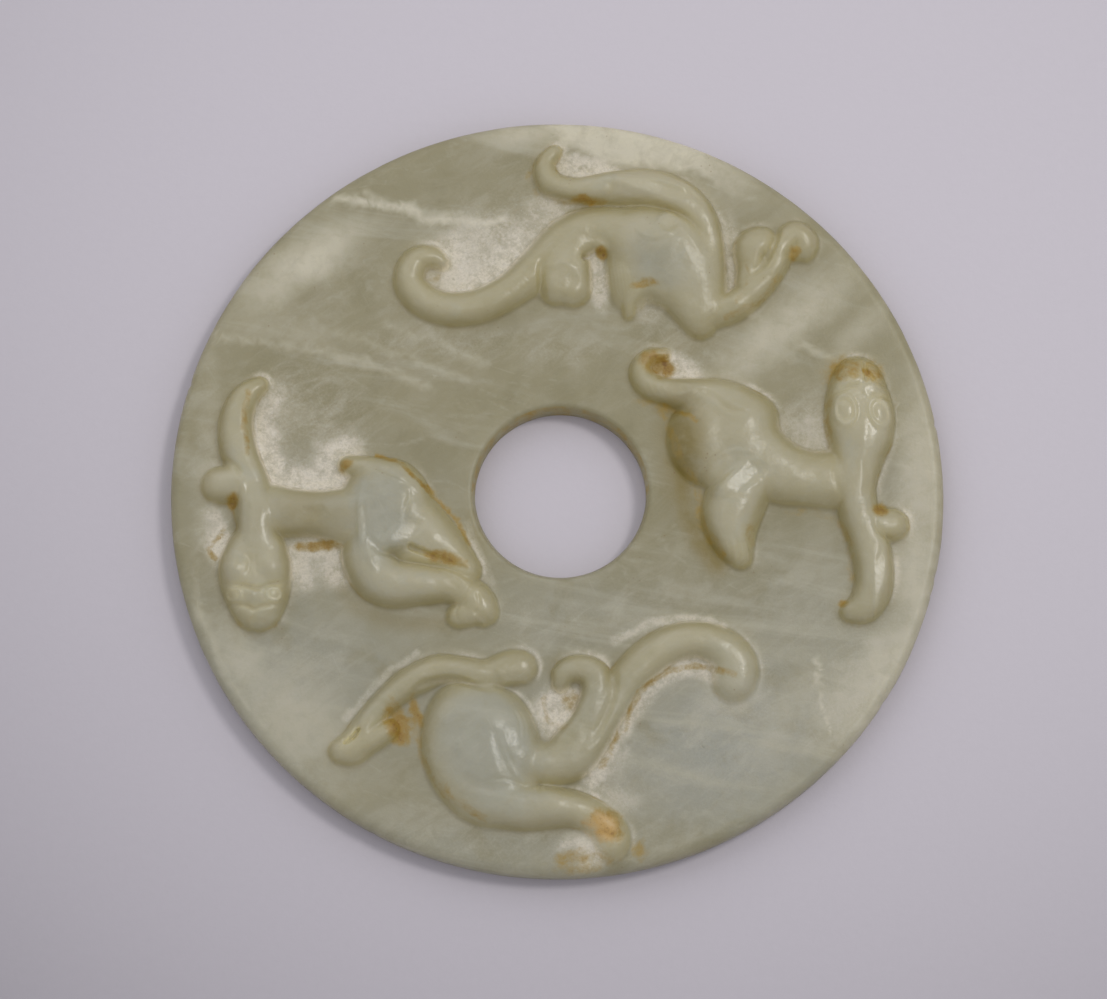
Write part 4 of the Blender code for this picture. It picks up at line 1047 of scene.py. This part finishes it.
def jade_material():
    """Waxy pale nephrite: olive and grey-green clouds, dusty ground, frosted pockets and stains."""
    s = Shader("jade")
    frost, stain = s.share("frost"), s.share("stain")
    cloud, film = s.share("cloud"), s.share("film")
    cool, sunk, rise, contour_shade = s.share("cool"), s.share("sunk"), s.share("rise"), s.share("contour_shade")
    ground = s.span(rise, 0.01, 0.10, 1.0, 0.0)
    fine = s.noise(2600.0, 2.0, 0.6)
    middle = s.noise(420.0, 5.0, 0.68, 0.3)
    broad = s.noise(95.0, 6.0, 0.62, 0.4)

    # The stone itself: clouds, streaks and veins.
    s.colour = OLIVE_JADE
    s.coat(GREY_JADE, cool, s.span(broad, 0.25, 0.6, 0.6, 1.0))
    s.coat(DEEP_JADE, s.span(broad, 0.46, 0.66, 0.0, 0.55))
    milk = s.streaks((0.24, 1.5), -12, 120.0, 5.0, 0.6, 0.8)
    s.coat(MILKY_JADE, s.span(milk, 0.50, 0.74, 0.0, 0.6))
    vein = s.streaks((0.4, 1.3), -14, 42.0, 4.0, 0.5, 0.6)
    vein = s.math("ABSOLUTE", s.math("SUBTRACT", vein, 0.5))
    s.coat(MILKY_JADE, s.span(vein, 0.0, 0.013, 1.0, 0.0), s.span(middle, 0.44, 0.62), 0.30)
    s.coat(CREAM_JADE, cloud, s.span(middle, 0.28, 0.60, 0.68, 1.0))

    # The raised parts are warmer, and their walls more yellow.
    wall = s.times(s.span(rise, 0.03, 0.16), s.span(rise, 0.45, 0.80, 1.0, 0.0))
    top = s.span(rise, 0.30, 0.70)
    s.coat(WARM_JADE, top, s.span(cool, 0.2, 0.8, 0.70, 0.12))
    s.coat(PALE_JADE, top, s.span(cool, 0.25, 0.85, 0.0, 0.42))
    blotches = s.span(s.noise(170.0, 4.0, 0.6, 0.5), 0.50, 0.70, 0.0, 0.40)
    s.coat(PALE_JADE, blotches, s.span(rise, 0.10, 0.40))
    s.coat(WALL_JADE, wall, 0.62, s.span(cool, 0.2, 0.9, 1.0, 0.45))

    # Dust and fine scratches; on the raised parts the whitish scratches also stand in for painted
    # glints.
    thread = s.span(s.streaks((0.07, 1.0), 38, 2200.0, 3.0, 0.6, 0.5), 0.58, 0.78)
    cross = s.span(s.streaks((0.08, 1.0), -64, 1900.0, 3.0, 0.6, 0.5), 0.60, 0.80)
    smear = s.span(s.streaks((0.45, 1.0), 30, 330.0, 5.0, 0.66, 0.6), 0.40, 0.68)
    scrub = s.math("MAXIMUM", thread, cross)
    dust = s.plus(s.times(smear, 0.42), s.span(fine, 0.42, 0.64, 0.0, 0.22))
    dust = s.times(film, s.plus(dust, s.times(scrub, 0.26)))
    dust = s.plus(dust, s.times(ground, s.plus(s.times(scrub, 0.07), s.times(smear, 0.13))))
    raised = s.math("SUBTRACT", 1.0, ground)
    # Whitish scratches on the raised parts, partly wear and partly painted glints.
    wear_and_glints = s.plus(s.times(scrub, 0.16), s.times(smear, 0.12))
    s.coat(DUST_AND_GLINT_WHITE, s.plus(dust, s.times(raised, wear_and_glints), clamp=True))

    # Hollows get olive, partly earth and partly painted shade, the contour gets painted olive shade
    # away from the light, and the frosted ground is white and granular, with painted highlight
    # lines and painted glints.
    # Creases darkened with olive, partly earth in them and partly painted shade.
    hollow = s.times(s.span(sunk, 0.52, 0.74), s.span(middle, 0.30, 0.62, 0.35, 1.0))
    s.coat(CREASE_EARTH_AND_SHADE, hollow, 0.17)
    # Painted olive shade along the contour, away from the light.
    shaded = s.times(contour_shade, s.span(s.noise(260.0, 4.0, 0.6), 0.28, 0.58, 0.60, 0.95))
    s.coat(SHADE_OLIVE, shaded, s.span(cool, 0.3, 1.0, 1.0, 0.6))
    crystals = s.span(s.noise(2300.0, 4.0, 0.78), 0.38, 0.56, 0.70, 1.0)
    patches = s.span(s.noise(520.0, 5.0, 0.70), 0.36, 0.56, 0.50, 1.0)
    patches = s.math("MAXIMUM", patches, s.span(frost, 0.50, 0.85))
    # The frost's white also paints the highlight lines along the lit contours.
    s.coat(FROST_AND_HIGHLIGHT_WHITE, s.span(frost, 0.02, 0.70), crystals, patches)
    s.coat(DEEP_JADE, s.span(s.noise(1500.0, 3.0, 0.7), 0.66, 0.74), frost, 0.6)
    s.coat(GLINT_WHITE, s.span(s.cells(1500.0), 0.06, 0.20, 1.0, 0.0), frost, 0.7)

    # Earth stains, from ochre to brown where they are strongest.
    reach = s.plus(s.times(stain, 1.05), s.times(s.math("SUBTRACT", middle, 0.5), 1.5))
    tint = s.times(s.span(reach, 0.25, 1.0), s.span(stain, 0.02, 0.3))
    s.coat(s.mix(s.span(cloud, 0.3, 0.8), OCHRE, GOLDEN_EARTH), tint, 0.90)
    amber = s.span(s.noise(700.0, 4.0, 0.7), 0.36, 0.60, 0.15, 0.65)
    amber = s.times(s.span(reach, 0.62, 1.05), amber)
    s.coat(AMBER, amber, s.span(cloud, 0.3, 0.8, 1.0, 0.15))
    grit = s.span(s.noise(2400.0, 3.0, 0.7), 0.58, 0.70)
    s.coat(EARTH_BROWN, grit, s.span(stain, 0.25, 0.8), 0.40)
    rust = s.times(s.span(reach, 0.85, 1.25), s.span(stain, 0.3, 0.7))
    s.coat(EARTH_BROWN, rust, s.span(s.noise(1100.0, 4.0, 0.7), 0.40, 0.62), 0.9)
    specks = s.span(s.cells(800.0), 0.05, 0.15, 1.0, 0.0)
    s.coat(EARTH_BROWN, specks, s.span(broad, 0.56, 0.66), 0.4)

    # Gloss, and the unevenness that is too fine for the mesh.
    rough = s.plus(s.span(broad, 0.3, 0.7, 0.30, 0.40), s.times(ground, 0.12))
    rough = s.plus(rough, s.times(frost, 0.06))
    rough = s.plus(rough, s.times(tint, 0.16), clamp=True)
    wax = s.bump(s.noise(800.0, 4.0, 0.62), 0.00003, 0.7)
    pitted = s.plus(s.times(frost, 1.0), s.times(ground, 0.20))
    pitted = s.times(s.noise(2000.0, 3.0, 0.7), pitted)
    ripples = s.times(s.noise(330.0, 3.0, 0.6), s.span(rise, 0.05, 0.3))
    ripples = s.bump(ripples, 0.00022, 0.8, before=wax)
    normal = s.bump(pitted, 0.00022, 0.9, before=ripples)

    s.principled.subsurface_method = "BURLEY"
    s.set(s.principled, Base_Color=s.colour, Roughness=rough, Normal=normal, IOR=1.61,
          Subsurface_Weight=0.9, Subsurface_Radius=(1.0, 0.9, 0.55), Subsurface_Scale=0.0032)
    return s.material


def add_object(name, data):
    """Adds an object to the scene."""
    made = bpy.data.objects.new(name, data)
    bpy.context.scene.collection.objects.link(made)
    return made


def make_disc():
    """The carved jade, thinned out where it is plain."""
    places, quads = turned_places(disc_section(VISUAL_RIM, FACE_ROWS))
    places = wear_edge(raise_carving(places))
    mesh = mesh_from("carved_jade", places, quads[:, ::-1])
    disc = add_object("carved_jade", mesh)
    thin = disc.modifiers.new("thin_out", "DECIMATE")
    thin.ratio = TRIANGLE_BUDGET / (2 * len(mesh.polygons))
    evaluated = disc.evaluated_get(bpy.context.evaluated_depsgraph_get())
    thinned = bpy.data.meshes.new_from_object(evaluated)
    disc.modifiers.clear()
    disc.data = thinned
    for vertex in thinned.vertices:
        vertex.co.z = max(vertex.co.z, 0.0)
    thinned.name = "carved_jade"
    thinned.shade_smooth()
    mark_surface(thinned)
    thinned.materials.clear()
    thinned.materials.append(jade_material())
    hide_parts("jade_bi_disc")
    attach(disc, "root")


def floor_material():
    """Matt pale lilac-grey paper with a faint tooth, and painted shade: darker towards the lower
    left, away from a painted pool of light.
    """
    s = Shader("paper")
    # Painted light and shade: lightest around one place of the floor, darker further from it.
    away = s.node("ShaderNodeVectorMath", operation="DISTANCE")
    s.join(s.place, away.inputs[0])
    away.inputs[1].default_value = FLOOR_PAINTED_LIGHT_CENTRE
    share = s.math("POWER", s.times(away.outputs["Value"], 1 / FLOOR_FADE), 3.0, clamp=True)
    tooth = s.times(s.math("SUBTRACT", s.noise(700.0, 3.0, 0.7), 0.5), 0.10)
    colour = s.mix(s.plus(share, tooth, clamp=True), FLOOR_PAINTED_LIT, FLOOR_PAINTED_SHADE)
    s.set(s.principled, Base_Color=colour, Roughness=0.9,
          Normal=s.bump(s.noise(900.0, 3.0, 0.6), 0.0001, 0.3))
    return s.material


def make_floor():
    """Pale floor under the disc."""
    mesh = bpy.data.meshes.new("floor")
    form = bmesh.new()
    bmesh.ops.create_grid(form, x_segments=8, y_segments=8, size=1.5)
    form.to_mesh(mesh)
    form.free()
    floor = add_object("floor", mesh)
    mesh.materials.append(floor_material())


def area_light(name, direction, distance, size, power, colour):
    """Soft square light that looks at the disc from a direction."""
    data = bpy.data.lights.new(name, "AREA")
    data.shape = "SQUARE"
    data.size = size
    data.energy = power
    data.color = colour
    light = add_object(name, data)
    light.location = Vector(direction).normalized() * distance
    light.rotation_euler = Vector(direction).to_track_quat("Z", "Y").to_euler()


def light_scene():
    """A light from the upper right, a broad one from the upper left, and a pale surround."""
    area_light("key", (0.46, 0.20, 0.87), 1.1, 0.24, 2.9, (1.0, 0.985, 0.96))
    area_light("fill", (-0.4, 0.75, 0.85), 1.3, 1.1, 2.6, (0.97, 0.98, 1.0))
    world = bpy.data.worlds.new("surround")
    bpy.context.scene.world = world
    world.use_nodes = True
    back = world.node_tree.nodes["Background"]
    back.inputs["Color"].default_value = (0.94, 0.94, 1.0, 1.0)
    back.inputs["Strength"].default_value = 0.60
    bpy.context.scene.view_settings.view_transform = "Standard"


def aim_camera():
    """Camera at the photograph's steep angle, framing the disc as it does."""
    data = bpy.data.cameras.new("camera")
    data.lens = LENS
    data.sensor_width = SENSOR
    camera = add_object("camera", data)
    tilt = math.radians(CAMERA_ELEVATION)
    back = Vector((0.0, -math.cos(tilt), math.sin(tilt)))
    rise = Vector((0.0, math.sin(tilt), math.cos(tilt)))
    offset = Vector((1.0, 0.0, 0.0)) * (IMAGE_WIDTH / 2 - DISC_CENTRE_PX[0]) / PX_PER_METRE
    offset += rise * (DISC_CENTRE_PX[1] - IMAGE_HEIGHT / 2) / PX_PER_METRE
    distance = IMAGE_WIDTH * LENS / (SENSOR * PX_PER_METRE)
    target = Vector((0.0, 0.0, PLATE_THICKNESS)) + offset
    camera.location = target + back * distance
    camera.rotation_euler = back.to_track_quat("Z", "Y").to_euler()
    bpy.context.scene.camera = camera


make_disc()
make_floor()
light_scene()
aim_camera()
